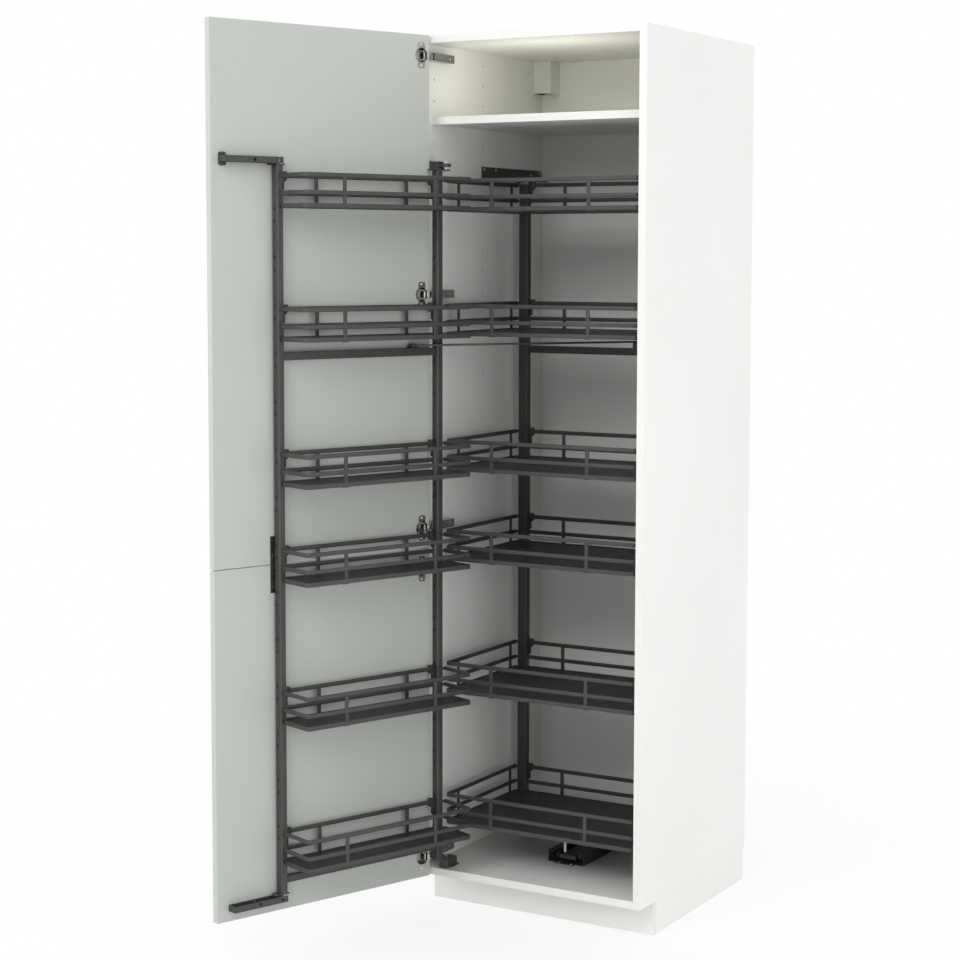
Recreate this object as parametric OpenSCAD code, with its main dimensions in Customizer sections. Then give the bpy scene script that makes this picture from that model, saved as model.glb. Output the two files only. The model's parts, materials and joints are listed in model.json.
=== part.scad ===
// Tall kitchen cabinet with a pull out larder: a door rack that swings out with the door
// and an inner rack that a rod pulls forwards. Millimetres, +Z up, -Y is the cabinet's front.
// The origin is on the floor, under the middle of the plinth's front board.
// Everything is drawn with the door open. Change "node" to see one part by itself.

/* [Cabinet] */
// Outside width
cabinet_w = 600; // [400:50:800]
// Outside depth, without the door
cabinet_d = 600; // [560:10:620]
// Height without the plinth
cabinet_h = 2000; // [1800:100:2200]
// Thickness of sides, top, bottom and shelf
board_t = 18; // [16:1:22]
// Back panel thickness
back_t = 8; // [3:1:10]
// Distance from the back panel to the rear edge
back_inset = 4; // [0:1:20]
// Depth of the groove that holds the back panel
groove_deep = 6; // [4:1:9]
// Clear height above the fixed upper shelf
upper_space_h = 168; // [120:4:400]
// How far the fixed shelf is set back from the front
shelf_setback = 44; // [0:2:80]

/* [Plinth] */
// Plinth height
plinth_h = 80; // [60:10:160]
// Plinth board thickness
plinth_t = 16; // [12:1:19]
// Set-back of the front board
plinth_setback = 78; // [40:2:90]
// Set-back of the side boards
plinth_side = 2.5; // [0:0.5:10]
// Diameter of a levelling foot
foot_d = 56; // [40:2:80]
// Distance of the feet from the cabinet's edges
foot_inset = 62; // [50:2:90]

/* [Shelf pin holes] */
// Hole diameter
pin_hole_d = 5; // [3:0.5:8]
// Hole depth
pin_hole_deep = 12; // [8:1:15]
// Vertical spacing
pin_pitch = 50; // [32:1:64]
// Lowest hole above the cabinet's floor
pin_first = 33.8; // [20:0.1:80]
// Front, middle and rear columns behind the cabinet's front
pin_columns = [54, 281.5, 510]; // [0:0.5:600]

/* [Doors] */
// Door thickness
door_t = 18; // [16:1:22]
// Gap from a closed door to the cabinet's outside
door_side_gap = 1.5; // [0.5:0.5:3]
// Height of the lower door
lower_door_h = 794; // [600:2:1000]
// Gap between the two doors
door_gap = 3; // [2:0.5:5]
// Gap at the top and bottom of the pair
door_reveal = 1.5; // [1:0.5:3]
// Gap between a closed door and the cabinet
door_front_gap = 2; // [1:0.5:4]

/* [Hinges] */
// Hinge arm pin behind the cabinet's front
arm_pin_back = 12; // [8:0.5:16]
// Hinge arm pin from the inner face of the side
arm_pin_in = 18; // [14:0.5:22]
// Cup pin from the door's hinge edge and below its inner face
cup_pin = [9.8, 5.3]; // [0:0.1:20]
// Cup diameter
cup_d = 35; // [26:1:40]
// Cup centre from the door's edge
cup_edge = 22.5; // [20:0.5:26]
// Cup depth
cup_deep = 13.8; // [11:0.1:14]
// Hinge distance from the ends of each door
hinge_inset = 47; // [40:1:100]
// Height of the middle hinge above the floor
middle_hinge_z = 1477; // [1200:1:1700]
// Height of a hinge arm
arm_h = 19; // [14:1:24]
// Length of a hinge arm behind its pin
arm_l = 94; // [60:1:110]

/* [Door tracks] */
// Closed end of the tracks from the door's free edge
track_inset = 29; // [20:1:40]
// Track length
track_l = 146; // [130:1:170]
// Track height
track_h = 14; // [10:1:18]
// Track sheet thickness
track_t = 1.5; // [1:0.1:2.5]
// Gap between the rack and the bottom track, and the rack and the top track
bottom_track_gap = 3; // [1:0.5:5]
top_track_gap = 1; // [0.5:0.5:5]
// Middle of the joining plate from the door's free edge
joining_inset = 156.5; // [40:0.5:200]

/* [Door rack] */
// Rack pivot from the inner face of the side, and behind the cabinet's front
rack_pivot = [52, 20]; // [10:0.5:60]
// Pivot pin diameter
pivot_d = 8; // [6:0.5:12]
// Gap between the uprights and the door
rack_gap = 2; // [1.8:0.1:5]
// Upright section along and away from the door
upright_w = 16; // [12:1:24]
upright_d = 22; // [16:1:28]
// Upright wall thickness
upright_t = 1.5; // [1:0.1:2.5]
// Middle of the inner upright from the hinge edge, and of the outer one from the free edge
inner_at = -13; // [-20:1:0]
outer_inset = 163; // [150:1:190]
// Bottom of the uprights above the cabinet's floor, and their top below the fixed shelf
rack_lift = 28; // [27:1:40]
rack_headroom = 110; // [60:1:300]
// Thickness of the end plates
end_plate_t = 3; // [2:0.5:4]
// Where the rack turns on its glides, beyond the middle of the outer upright
glide_beyond = 15; // [12:1:20]
// Middle crossbar below the fifth basket, and the low crossbar above the uprights' ends
crossbar_drop = 39; // [36:1:60]
low_bar_lift = 21; // [15:1:40]
// Crossbar height and thickness, and the height of the low crossbar
bar_h = 18; // [12:1:24]
bar_t = 10; // [6:1:14]
low_bar_h = 16; // [12:1:20]

/* [Baskets] */
// The lower baskets above the cabinet's floor, from the lowest up
basket_1_z = 100; // [85:1:160]
basket_2_z = 423; // [300:1:500]
basket_3_z = 745; // [600:1:800]
basket_4_z = 962; // [900:1:1100]
basket_5_z = 1285; // [1250:1:1340]
// The top basket below the top of the door rack
basket_6_drop = 89; // [86:1:180]
// Middle and top rails above the bottom rim
mid_rail = 28; // [20:1:40]
top_rail = 66.5; // [50:0.5:90]
// Rail height and thickness
rail_h = 10; // [6:0.5:14]
rail_t = 4.5; // [3:0.5:6]
// Post width and thickness
post_w = 9; // [6:0.5:14]
post_t = 3; // [2:0.5:4]
// Tray board thickness
tray_t = 5; // [3:0.5:8]
// Rim thickness and width of the ledge that carries the board
rim_t = 3; // [2:0.5:4]
ledge_w = 5; // [3:0.5:10]
// Door basket beyond the middles of the inner and the outer upright
basket_past_inner = 16.5; // [10:0.5:20]
basket_past_outer = 1.5; // [0:0.5:7]
// Door basket depth in front of the uprights
door_basket_d = 101; // [80:1:110]
// Inner basket from the cabinet's sides, and its front behind the cabinet's front
inner_side_gap = 30; // [28:1:50]
inner_front_gap = 56; // [54:1:90]
// Front posts from the sides of a basket: door, inner
door_post_inset = 106.5; // [60:0.5:150]
inner_post_inset = 125; // [60:1:160]
// Back posts of the inner basket from its sides
back_post_inset = 134; // [80:1:160]
// Side posts of the inner basket from its back and from its front
side_post_inset = [29, 56]; // [20:1:80]
// Outside corner radius of the door and the inner baskets
door_corner = 9; // [6:0.5:12]
inner_corner = 6; // [5:0.5:12]

/* [Inner rack] */
// Gap between the uprights and the back panel, door closed
inner_rear_gap = 7.8; // [5:0.1:20]
// Upright section across and along the cabinet
post_sec = [25, 20]; // [16:1:30]
// Gap between the uprights and the cabinet's sides
inner_post_gap = 38; // [30:1:60]
// Bottom of the uprights above the floor runner, and their top below the fixed shelf
inner_lift = 6; // [5:1:20]
inner_headroom = 134; // [80:1:320]
// Middle crossbar below the fifth basket
inner_bar_drop = 49; // [46:1:60]
// How far the rack travels back when the door closes
inner_travel = 162.2; // [120:0.1:170]

/* [Slots in the uprights] */
// Width and height of a slot
slot_size = [4, 7]; // [2:0.5:10]
// Highest slot below the top of the door rack, and the least height below the lowest pair
slot_drop = 95; // [60:1:160]
slot_end_gap = 60; // [50:1:200]
// Distance inside a pair, and from pair to pair
slot_steps = [28, 107]; // [20:0.5:120]

/* [Rod] */
// Rod width and thickness
rod_w = 10; // [8:1:16]
rod_t = 4.5; // [3:0.5:6]
// Middle of the rod above the middle crossbar of the door rack
rod_lift = 6; // [5:1:9]
// Rod end on the door rack, along the door
rod_at = 58; // [50:1:80]
// Rod end on the inner rack from the cabinet's middle
rod_x = 88; // [40:1:120]
// Diameter of the rod's pins
rod_pin_d = 6; // [4:0.5:8]

/* [Guides] */
// Guide rail start behind the cabinet's front
guide_start = 275; // [200:1:300]
// Guide rail height and width of its flange
guide_size = [29, 22]; // [15:1:40]
// Underside of the guide rail above the inner uprights
guide_lift = 15; // [13:0.5:20]
// Sheet thickness of the guide rail
guide_t = 2.5; // [1.5:0.5:3]
// Runner start behind the cabinet's front
runner_start = 190; // [180:1:200]
// Runner width and height
runner_size = [97, 28]; // [60:1:110]
// Runner position from the cabinet's middle
runner_x = 8; // [-20:1:20]
// Sheet thickness of the runner
runner_t = 2; // [1.5:0.5:3]
// Carriage wheels from the runner's sides
wheel_inset = 17.5; // [15:0.5:25]
// Diameter of the peg under the lowest tray
peg_d = 6.5; // [4:0.5:10]

/* [Fits] */
// Radial play of a pin that turns in its hole
turn_play = 0.05; // [0.02:0.01:0.1]
// Gap between parts that turn past each other
side_play = 0.3; // [0.3:0.1:1]
// Gap around parts that are let in
seat_play = 0.3; // [0.1:0.1:0.5]
// Play of the glides in their tracks
glide_play = 0.2; // [0.1:0.1:0.5]

/* [Hidden] */
$fn = 48;
e = 0.01;
// Turns of the door and of the hinge links from closed to fully open, in degrees
door_open = 110.6;
link_turn = 51;
front = -(plinth_setback + plinth_t / 2);
rear = front + cabinet_d;
half_w = cabinet_w / 2;
in_x = half_w - board_t;
total_h = plinth_h + cabinet_h;
floor_z = plinth_h + board_t;
ceil_z = total_h - board_t;
back_y = rear - back_inset - back_t;
shelf_z = ceil_z - upper_space_h - board_t;
door_w = cabinet_w - 2 * door_side_gap;

arm_pin = [-in_x + arm_pin_in, front + arm_pin_back];
closed_corner = [-half_w + door_side_gap, front - door_front_gap];
closed_cup = closed_corner + [cup_pin[0], -cup_pin[1]];
link_l = norm(closed_cup - arm_pin);
closed_dir = atan2(closed_cup[1] - arm_pin[1], closed_cup[0] - arm_pin[0]);
link_dir = closed_dir + link_turn;
open_cup = arm_pin + link_l * [cos(link_dir), sin(link_dir)];
door_corner_x = open_cup[0] - cup_pin[0] * cos(door_open) + cup_pin[1] * sin(door_open);
door_corner_y = open_cup[1] + cup_pin[0] * sin(door_open) + cup_pin[1] * cos(door_open);

door_z0 = plinth_h + door_reveal;
split_z = door_z0 + lower_door_h;
upper_z0 = split_z + door_gap;
door_z1 = total_h - door_reveal;
hinge_zs = [door_z0 + hinge_inset, split_z - hinge_inset, upper_z0 + hinge_inset,
    middle_hinge_z, door_z1 - hinge_inset];

pivot = [-in_x + rack_pivot[0], front + rack_pivot[1]];
rack_off = rack_gap + upright_d / 2;
outer_at = door_w - outer_inset;
glide_at = outer_at + glide_beyond;
rack_bottom = floor_z + rack_lift;
rack_top = shelf_z - rack_headroom;
basket_zs = [floor_z + basket_1_z, floor_z + basket_2_z, floor_z + basket_3_z,
    floor_z + basket_4_z, floor_z + basket_5_z, rack_top - basket_6_drop];
crossbar_z = basket_zs[4] - crossbar_drop;
door_basket_w = outer_at + basket_past_outer - inner_at + basket_past_inner;
door_basket_mid = (outer_at + basket_past_outer + inner_at - basket_past_inner) / 2;

inner_back = cabinet_d - back_inset - back_t - inner_rear_gap - inner_travel - post_sec[1];
inner_basket_w = 2 * (in_x - inner_side_gap);
inner_basket_d = inner_back - inner_front_gap;
inner_half = in_x - inner_post_gap;
inner_bottom = floor_z + runner_size[1] + inner_lift;
inner_top = shelf_z - inner_headroom;
inner_bar_z = basket_zs[4] - inner_bar_drop;
inner_y = front + inner_back;
inner_bar_y = inner_y + post_sec[1] / 2;
inner_face = inner_half - post_sec[0];
plate_top = rack_top + end_plate_t;
plate_bottom = rack_bottom - end_plate_t;
rod_z = crossbar_z + bar_h / 2 + rod_lift;
rod_low = rod_z - rod_t / 2;
guide_z = inner_top + guide_lift;
wheel_d = runner_size[1] - 2 * runner_t - 2 * side_play;
wheel_off = runner_size[0] / 2 - wheel_inset;
wheel_half = 5;
wheel_z = floor_z + runner_t + wheel_d / 2 + side_play;
wheel_ys = [front + runner_start + 26, inner_bar_y - 13];
runner_l = wheel_ys[1] + inner_travel + wheel_d - front - runner_start;
guide_l = inner_bar_y + inner_travel + 7 - front - guide_start;

track_w = 2 * rack_off;
track_start = door_w - track_inset - track_l;
bottom_track_z = plate_bottom - bottom_track_gap - track_h;
top_track_z = plate_top + top_track_gap;
joining_at = door_w - joining_inset;
roller_x = -in_x + guide_size[1] + 8;
roller_z = guide_z + guide_t / 2;

anthracite = [0.22, 0.22, 0.21];
dark = [0.13, 0.13, 0.13];
white = [0.93, 0.93, 0.91];
grey_green = [0.76, 0.79, 0.77];
bright = [0.8, 0.8, 0.78];

// Draws in the door's own frame: x along the door from the hinge edge, y away from its inner
// face, z up.
module on_door() {
    translate([door_corner_x, door_corner_y, 0])
        rotate(-door_open)
            children();
}

module box(a, b) {
    translate(a)
        cube(b - a);
}

module round_rect(w, d, r) {
    square([w - 2 * r, d], center = true);
    square([w, d - 2 * r], center = true);
    for (x = [-1, 1], y = [-1, 1])
        translate([x * (w / 2 - r), y * (d / 2 - r)])
            circle(r);
}

// ---- cabinet ----

module pin_holes(side) {
    count = floor((ceil_z - 20 - floor_z - pin_first) / pin_pitch);
    for (column = pin_columns, i = [0 : count])
        translate([side * in_x, front + column, floor_z + pin_first + i * pin_pitch])
            rotate([0, side * 90, 0])
                translate([0, 0, -e])
                    cylinder(d = pin_hole_d, h = pin_hole_deep + e, $fn = 16);
}

module back_groove() {
    w = cabinet_w - 2 * board_t + 2 * groove_deep;
    box([-w / 2 - seat_play / 2, back_y, floor_z - groove_deep - e],
        [w / 2 + seat_play / 2, back_y + back_t + seat_play, ceil_z + groove_deep + seat_play]);
}

module side_panel(side) {
    difference() {
        translate([side * (in_x + board_t / 2) - board_t / 2, front, plinth_h])
            cube([board_t, cabinet_d, cabinet_h]);
        back_groove();
        pin_holes(side);
    }
}

module side_panel_left() {
    color(white)
        side_panel(-1);
}

module side_panel_right() {
    color(white)
        side_panel(1);
}

module flat_panel(z) {
    difference() {
        box([-in_x, front, z], [in_x, rear, z + board_t]);
        back_groove();
    }
}

module top_panel() {
    color(white)
        flat_panel(ceil_z);
}

module bottom_panel() {
    color(white)
        flat_panel(plinth_h);
}

module upper_shelf() {
    color(white)
        box([-in_x, front + shelf_setback, shelf_z], [in_x, back_y, shelf_z + board_t]);
}

module back_panel() {
    w = cabinet_w - 2 * board_t + 2 * groove_deep;
    color(white)
        box([-w / 2, back_y, floor_z - groove_deep - e], [w / 2, back_y + back_t, ceil_z + groove_deep]);
}

module plinth_front() {
    w = cabinet_w - 2 * plinth_side;
    color(white)
        box([-w / 2, -plinth_t / 2, 0], [w / 2, plinth_t / 2, plinth_h]);
}

module plinth_sides() {
    color(white)
        for (side = [-1, 1])
            translate([side * (half_w - plinth_side - plinth_t / 2) - plinth_t / 2, plinth_t / 2, 0])
                cube([plinth_t, rear - plinth_side - plinth_t / 2, plinth_h]);
}

module levelling_feet() {
    color(dark)
        for (x = [-1, 1], y = [plinth_t / 2 + foot_inset / 2 + 10, rear - foot_inset])
            translate([x * (half_w - foot_inset), y, 0])
                rotate_extrude()
                    polygon([[0, 0], [foot_d / 2, 0], [foot_d / 2, 6], [foot_d / 4, 16],
                        [foot_d / 4, plinth_h - 16], [foot_d / 3, plinth_h - 5],
                        [foot_d / 2.2, plinth_h - 5], [foot_d / 2.2, plinth_h], [0, plinth_h]]);
}

module bracket_covers() {
    w = 49;
    d = 51;
    h = 81;
    wall = 2;
    color(white)
        for (side = [-1, 1])
            translate([side * (in_x - w / 2), back_y - d / 2, ceil_z - h])
                difference() {
                    linear_extrude(h) {
                        round_rect(w, d, 4);
                        translate([-w / 2, 0])
                            square([w, d / 2]);
                        translate([side < 0 ? -w / 2 : 0, -d / 2])
                            square([w / 2, d]);
                    }
                    translate([-w / 2 + wall, -d / 2 + wall, -e])
                        cube([w - 2 * wall, d - wall + e, h - wall]);
                }
}

// ---- hinges ----

module at_hinges() {
    for (z = hinge_zs)
        translate([0, 0, z])
            children();
}

arm_screw_at = [38, arm_l - 18];

module hinge_arms() {
    cheek = 1.5;
    web_x = arm_pin[0] + 4.5;
    color(bright)
        at_hinges()
            difference() {
                union() {
                    box([-in_x, arm_pin[1] + 24, -arm_h / 2], [-in_x + 3, arm_pin[1] + arm_l, arm_h / 2]);
                    for (s = [-1, 1]) {
                        translate([0, 0, s * (arm_h / 2 - cheek / 2) - cheek / 2]) {
                            translate([arm_pin[0], arm_pin[1], 0])
                                cylinder(r = 5, h = cheek);
                            linear_extrude(cheek)
                                polygon([[arm_pin[0] - 4, arm_pin[1] + 3], [arm_pin[0] + 2, arm_pin[1] - 4],
                                    [web_x + 1.5, arm_pin[1] + 4], [web_x + 1.5, arm_pin[1] + arm_l],
                                    [-in_x + 2, arm_pin[1] + arm_l], [-in_x + 2, arm_pin[1] + 24]]);
                        }
                    }
                    box([web_x, arm_pin[1] + 5, -arm_h / 2], [web_x + 1.5, arm_pin[1] + arm_l, arm_h / 2]);
                    translate([arm_pin[0], arm_pin[1], -arm_h / 2])
                        cylinder(d = 3, h = arm_h);
                }
                for (y = arm_screw_at)
                    translate([-in_x + 2.9, arm_pin[1] + y, 0])
                        rotate([0, 90, 0])
                            cylinder(d = 7, h = 30);
            }
}

module hinge_screws() {
    web_x = arm_pin[0] + 4.5;
    color(bright)
        at_hinges()
            for (y = arm_screw_at)
                translate([-in_x + 3, arm_pin[1] + y, 0])
                    rotate([0, 90, 0])
                        difference() {
                            union() {
                                cylinder(d = 6.2, h = 3);
                                if (y == arm_screw_at[0])
                                    cylinder(d = 4, h = web_x + in_x - 1);
                            }
                            translate([-2, -0.4, y == arm_screw_at[0] ? web_x + in_x - 2.5 : 2])
                                cube([4, 0.8, 3]);
                        }
}

// One bent link per hinge, in the door's frame, from the cup pin to the arm pin.
link_span = arm_pin - open_cup;
link_end = [link_span[0] * cos(door_open) - link_span[1] * sin(door_open),
    link_span[0] * sin(door_open) + link_span[1] * cos(door_open)];
link_path = [[0, 0], [-2.5, 7.1], [-8.3, 8.5], [-11, 7.9], [-13.2, 3.5], link_end];

function across(a, b) = [a[1] - b[1], b[0] - a[0]] / norm(b - a);

function mitre(path, i) =
    let (n = across(path[max(i - 1, 0)], path[max(i, 1)]),
        m = across(path[min(i, len(path) - 2)], path[min(i + 1, len(path) - 1)]))
    (n + m) / (1 + n * m);

// A strip of even thickness along a bent line.
module strip(path, half) {
    last = len(path) - 1;
    polygon([for (i = [0 : last]) path[i] + half * mitre(path, i),
        for (i = [last : -1 : 0]) path[i] - half * mitre(path, i)]);
}

module hinge_links() {
    w = 12;
    color(bright)
        on_door()
            at_hinges()
                translate([cup_pin[0], -cup_pin[1], -w / 2])
                    linear_extrude(w)
                        difference() {
                            union() {
                                strip(link_path, 1.1);
                                circle(2.6);
                                translate(link_end)
                                    circle(3);
                            }
                            circle(1.2 + turn_play);
                            translate(link_end)
                                circle(1.5 + turn_play);
                        }
}

module hinge_cups() {
    wall = 0.8;
    flange_t = 1.2;
    color(bright)
        on_door()
            at_hinges()
                translate([cup_edge, 0, 0]) {
                    difference() {
                        union() {
                            rotate([90, 0, 0])
                                translate([0, 0, -flange_t])
                                    cylinder(d = cup_d - 0.1, h = cup_deep + flange_t);
                            translate([0, flange_t, 0])
                                rotate([90, 0, 0])
                                    linear_extrude(flange_t)
                                        round_rect(20, 60, 6);
                        }
                        difference() {
                            rotate([90, 0, 0])
                                translate([0, 0, -flange_t - e])
                                    cylinder(d = cup_d - 0.1 - 2 * wall, h = cup_deep + flange_t - 0.6);
                            for (s = [-1, 1])
                                translate([-cup_d / 2, -cup_deep, s * 10 - 2.5])
                                    cube([10, cup_deep - 3.2, 5]);
                        }
                        box([-cup_d / 2 - 1, -4, -6.6], [-cup_d / 2 + 5, flange_t + 1, 6.6]);
                        for (s = [-1, 1])
                            translate([0, flange_t + e, s * 24])
                                rotate([90, 0, 0])
                                    cylinder(d = 4.2, h = 3);
                    }
                    translate([cup_pin[0] - cup_edge, -cup_pin[1], -10])
                        cylinder(d = 2.4, h = 20);
                }
}

module hinge_cup_screws() {
    color(bright)
        on_door()
            at_hinges()
                for (s = [-1, 1])
                    translate([cup_edge, 1.2, s * 24])
                        rotate([90, 0, 0]) {
                            difference() {
                                translate([0, 0, -1.6])
                                    cylinder(d = 7, h = 1.6);
                                for (a = [0, 90])
                                    rotate(a)
                                        translate([-2, -0.4, -2])
                                            cube([4, 0.8, 1]);
                            }
                            cylinder(d = 4, h = 9);
                        }
}

// ---- doors ----

module door_board(z0, z1) {
    on_door()
        difference() {
            box([0, -door_t, z0], [door_w, 0, z1]);
            for (z = hinge_zs)
                translate([cup_edge, e, z]) {
                    rotate([90, 0, 0])
                        cylinder(d = cup_d, h = cup_deep + 0.2);
                    for (s = [-1, 1])
                        translate([0, 0, s * 24])
                            rotate([90, 0, 0])
                                cylinder(d = 4.1, h = 8.2);
                }
        }
}

module door_lower() {
    color(grey_green)
        door_board(door_z0, split_z);
}

module door_upper() {
    color(grey_green)
        door_board(upper_z0, door_z1);
}

// Screws of the joining plate, above and below the split
joining_zs = [-52, -20, 20, 52];
joining_screw_x = joining_at + 2.5;

module door_joining_plate() {
    color(dark)
        on_door()
            translate([0, 0, split_z + door_gap / 2])
                difference() {
                    box([joining_at - 10, 0, -64], [joining_at + 10, 1.5, 64]);
                    for (z = joining_zs)
                        translate([joining_screw_x, 2, z])
                            rotate([90, 0, 0])
                                cylinder(d = 6.1, h = 4);
                }
}

module joining_screw() {
    rotate([90, 0, 0])
        difference() {
            cylinder(d = 6, h = 1.5);
            for (a = [0, 90])
                rotate(a)
                    translate([-2, -0.4, -e])
                        cube([4, 0.8, 0.8]);
        }
}

// ---- door tracks ----

// Track screws, from the start of a track
track_screw_at = [16, 77];

module track() {
    difference() {
        box([track_start, 0, 0], [track_start + track_l, track_w, track_h]);
        box([track_start - e, track_t, track_t],
            [track_start + track_l - track_t, track_w - track_t, track_h + e]);
        for (x = track_screw_at)
            translate([track_start + x, track_w + 1, track_h / 2 + 0.75]) {
                rotate([90, 0, 0])
                    cylinder(d = 8, h = 4);
                rotate([90, 0, 0])
                    cylinder(d = 4, h = track_w + 2);
            }
        difference() {
            translate([track_start, track_w - 6, -e])
                cube([6, 6 + e, track_h + 1]);
            translate([track_start + 6, track_w - 6, -1])
                cylinder(r = 6, h = track_h + 3);
        }
    }
}

module bottom_track() {
    color(anthracite)
        on_door()
            translate([0, 0, bottom_track_z])
                track();
}

module top_track() {
    color(anthracite)
        on_door()
            translate([0, 0, top_track_z + track_h])
                mirror([0, 0, 1])
                    track();
}

module top_track_plate() {
    color(anthracite)
        on_door()
            translate([track_start + track_l + 0.5, 0, top_track_z + 7])
                difference() {
                    rotate([90, 0, 0])
                        translate([0, 0, -track_w])
                            linear_extrude(track_w)
                                round_rect(19, 30, 6);
                    box([-30, -1, -7], [0 - 0.5, track_w + 1, 7]);
                    box([-30, 3, -30], [30, track_w + 1, -7]);
                    box([-30, 3, 7], [30, track_w + 1, 30]);
                    for (z = [-11, 11])
                        translate([-0.5, 4, z])
                            rotate([90, 0, 0])
                                cylinder(d = 4, h = 5);
                }
}

module track_screw(l) {
    rotate([90, 0, 0])
        difference() {
            union() {
                translate([0, 0, -1.8])
                    cylinder(d = 6.6, h = 1.8);
                cylinder(d = 3.8, h = l);
            }
            for (a = [0, 90])
                rotate(a)
                    translate([-2.2, -0.4, -1.8 - e])
                        cube([4.4, 0.8, 0.9]);
        }
}

module door_screws() {
    color(bright)
        on_door() {
            for (z = joining_zs)
                translate([joining_screw_x, 1.5, split_z + door_gap / 2 + z])
                    joining_screw();
            for (x = track_screw_at) {
                translate([track_start + x, track_t, bottom_track_z + track_h / 2 + 0.75])
                    track_screw(track_t);
                translate([track_start + x, track_t, top_track_z + track_h / 2 - 0.75])
                    track_screw(track_t);
            }
            for (z = [-11, 11])
                translate([track_start + track_l, 3, top_track_z + 7 + z])
                    track_screw(3);
        }
}

module glide(base_z, up) {
    body_h = 10;
    w = track_w - 2 * track_t - 2 * glide_play;
    z0 = track_t + glide_play;
    translate([glide_at, track_w / 2, base_z])
        mirror([0, 0, up > 0 ? 0 : 1])
            difference() {
                union() {
                    translate([-7, -w / 2, z0])
                        cube([14, w, body_h]);
                    translate([0, 0, z0])
                        cylinder(d = 12, h = end_gap(up) - z0 - side_play);
                }
                translate([-8, -w / 2 - e, track_h / 2 + 0.75 - 3.8])
                    cube([16, 2.4, 7.6]);
            }
}

function end_gap(up) = up > 0 ? plate_bottom - bottom_track_z : top_track_z + track_h - plate_top;

module track_glides() {
    color(dark)
        on_door() {
            glide(bottom_track_z, 1);
            glide(top_track_z + track_h, -1);
        }
}

// ---- door rack ----

// Closed section of an upright with a rounded nose on its far side.
module upright_section(w, d, inset) {
    r = 5 - inset;
    a = w / 2 - inset;
    b = d / 2 - inset;
    translate([-a, -b])
        square([2 * a - r, 2 * b]);
    translate([-a, -b + r])
        square([2 * a, 2 * b - 2 * r]);
    for (s = [-1, 1])
        translate([a - r, s * (b - r)])
            circle(r);
}

module slots(across) {
    top = rack_top - slot_drop;
    last = floor((top - rack_bottom - slot_end_gap) / slot_steps[1]);
    for (i = [0 : last], k = [0, 1])
        translate([0, 0, top - i * slot_steps[1] - k * slot_steps[0]])
            cube([across, slot_size[0], slot_size[1]], center = true);
}

module rack_upright(at) {
    translate([at, rack_off, rack_bottom])
        difference() {
            linear_extrude(rack_top - rack_bottom)
                difference() {
                    upright_section(upright_w, upright_d, 0);
                    upright_section(upright_w, upright_d, upright_t);
                }
            translate([upright_w / 2, 0, -rack_bottom])
                slots(6);
        }
}

module rack_upright_outer() {
    color(anthracite)
        on_door()
            rack_upright(outer_at);
}

module rack_upright_inner() {
    color(anthracite)
        on_door()
            rack_upright(inner_at);
}

module rack_crossbars() {
    l0 = inner_at + upright_w / 2;
    l1 = outer_at - upright_w / 2;
    color(anthracite)
        on_door() {
            box([l0, rack_off - bar_t / 2, crossbar_z - bar_h / 2],
                [l1, rack_off + bar_t / 2, crossbar_z + bar_h / 2]);
            box([l0, rack_off - bar_t / 2, rack_bottom + low_bar_lift],
                [l1, rack_off + bar_t / 2, rack_bottom + low_bar_lift + low_bar_h]);
        }
}

module outer_plate(z) {
    translate([0, 0, z])
        difference() {
            union() {
                translate([outer_at - 14, rack_off - upright_d / 2, 0])
                    cube([glide_at - outer_at + 8, upright_d, end_plate_t]);
                translate([glide_at - 7, rack_off - upright_d / 2 + 2, 0])
                    cube([7, upright_d - 4, end_plate_t]);
                translate([glide_at, rack_off, 0])
                    cylinder(d = upright_d - 4, h = end_plate_t);
            }
            translate([glide_at, rack_off, -1])
                cylinder(d = 5, h = end_plate_t + 2);
        }
}

module inner_plate(z, beyond) {
    difference() {
        union() {
            on_door()
                translate([inner_at - 18, rack_off - upright_d / 2, z])
                    cube([18 + upright_w / 2 + beyond, upright_d, end_plate_t]);
            translate([pivot[0], pivot[1], z])
                cylinder(d = upright_d, h = end_plate_t);
        }
        translate([pivot[0], pivot[1], z - 1])
            cylinder(d = pivot_d + 2 * turn_play, h = end_plate_t + 2);
    }
}

module rack_end_plates() {
    color(anthracite)
        for (z = [plate_bottom, rack_top]) {
            on_door()
                outer_plate(z);
            inner_plate(z, z > crossbar_z ? 12 : 0);
        }
}

module rod_block() {
    top = crossbar_z + bar_h / 2;
    color(dark)
        on_door() {
            box([rod_at - 10, rack_off - 7, top], [rod_at + 11, rack_off + 7, rod_low - side_play]);
            translate([rod_at, rack_off, top])
                cylinder(d = rod_pin_d, h = rod_z + rod_t / 2 + side_play - top);
            translate([rod_at, rack_off, rod_z + rod_t / 2 + side_play])
                cylinder(d = rod_pin_d + 4, h = 2);
        }
}

// ---- baskets ----

// Rail section: a flat bar with round edges.
module rail_section() {
    square([rail_t, rail_h - rail_t], center = true);
    for (s = [-1, 1])
        translate([0, s * (rail_h - rail_t) / 2])
            circle(d = rail_t, $fn = 24);
}

module rail_x(x0, x1, y) {
    translate([x0, y, 0])
        rotate([90, 0, 90])
            linear_extrude(x1 - x0)
                rail_section();
}

module rail_y(x, y0, y1) {
    translate([x, y1, 0])
        rotate([90, 0, 0])
            linear_extrude(y1 - y0)
                rail_section();
}

// U-shaped rail: two sides and a front joined by bends.
module rail_loop(w, d, r) {
    c = r - rail_t / 2;
    x = w / 2 - rail_t / 2;
    y = d - rail_t / 2;
    for (s = [-1, 1]) {
        rail_y(s * x, 0, y - c);
        translate([s * (x - c), y - c, 0])
            rotate(s > 0 ? 0 : 90)
                rotate_extrude(angle = 90)
                    translate([c, 0])
                        rail_section();
    }
    rail_x(-x + c, x - c, y);
}

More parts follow.
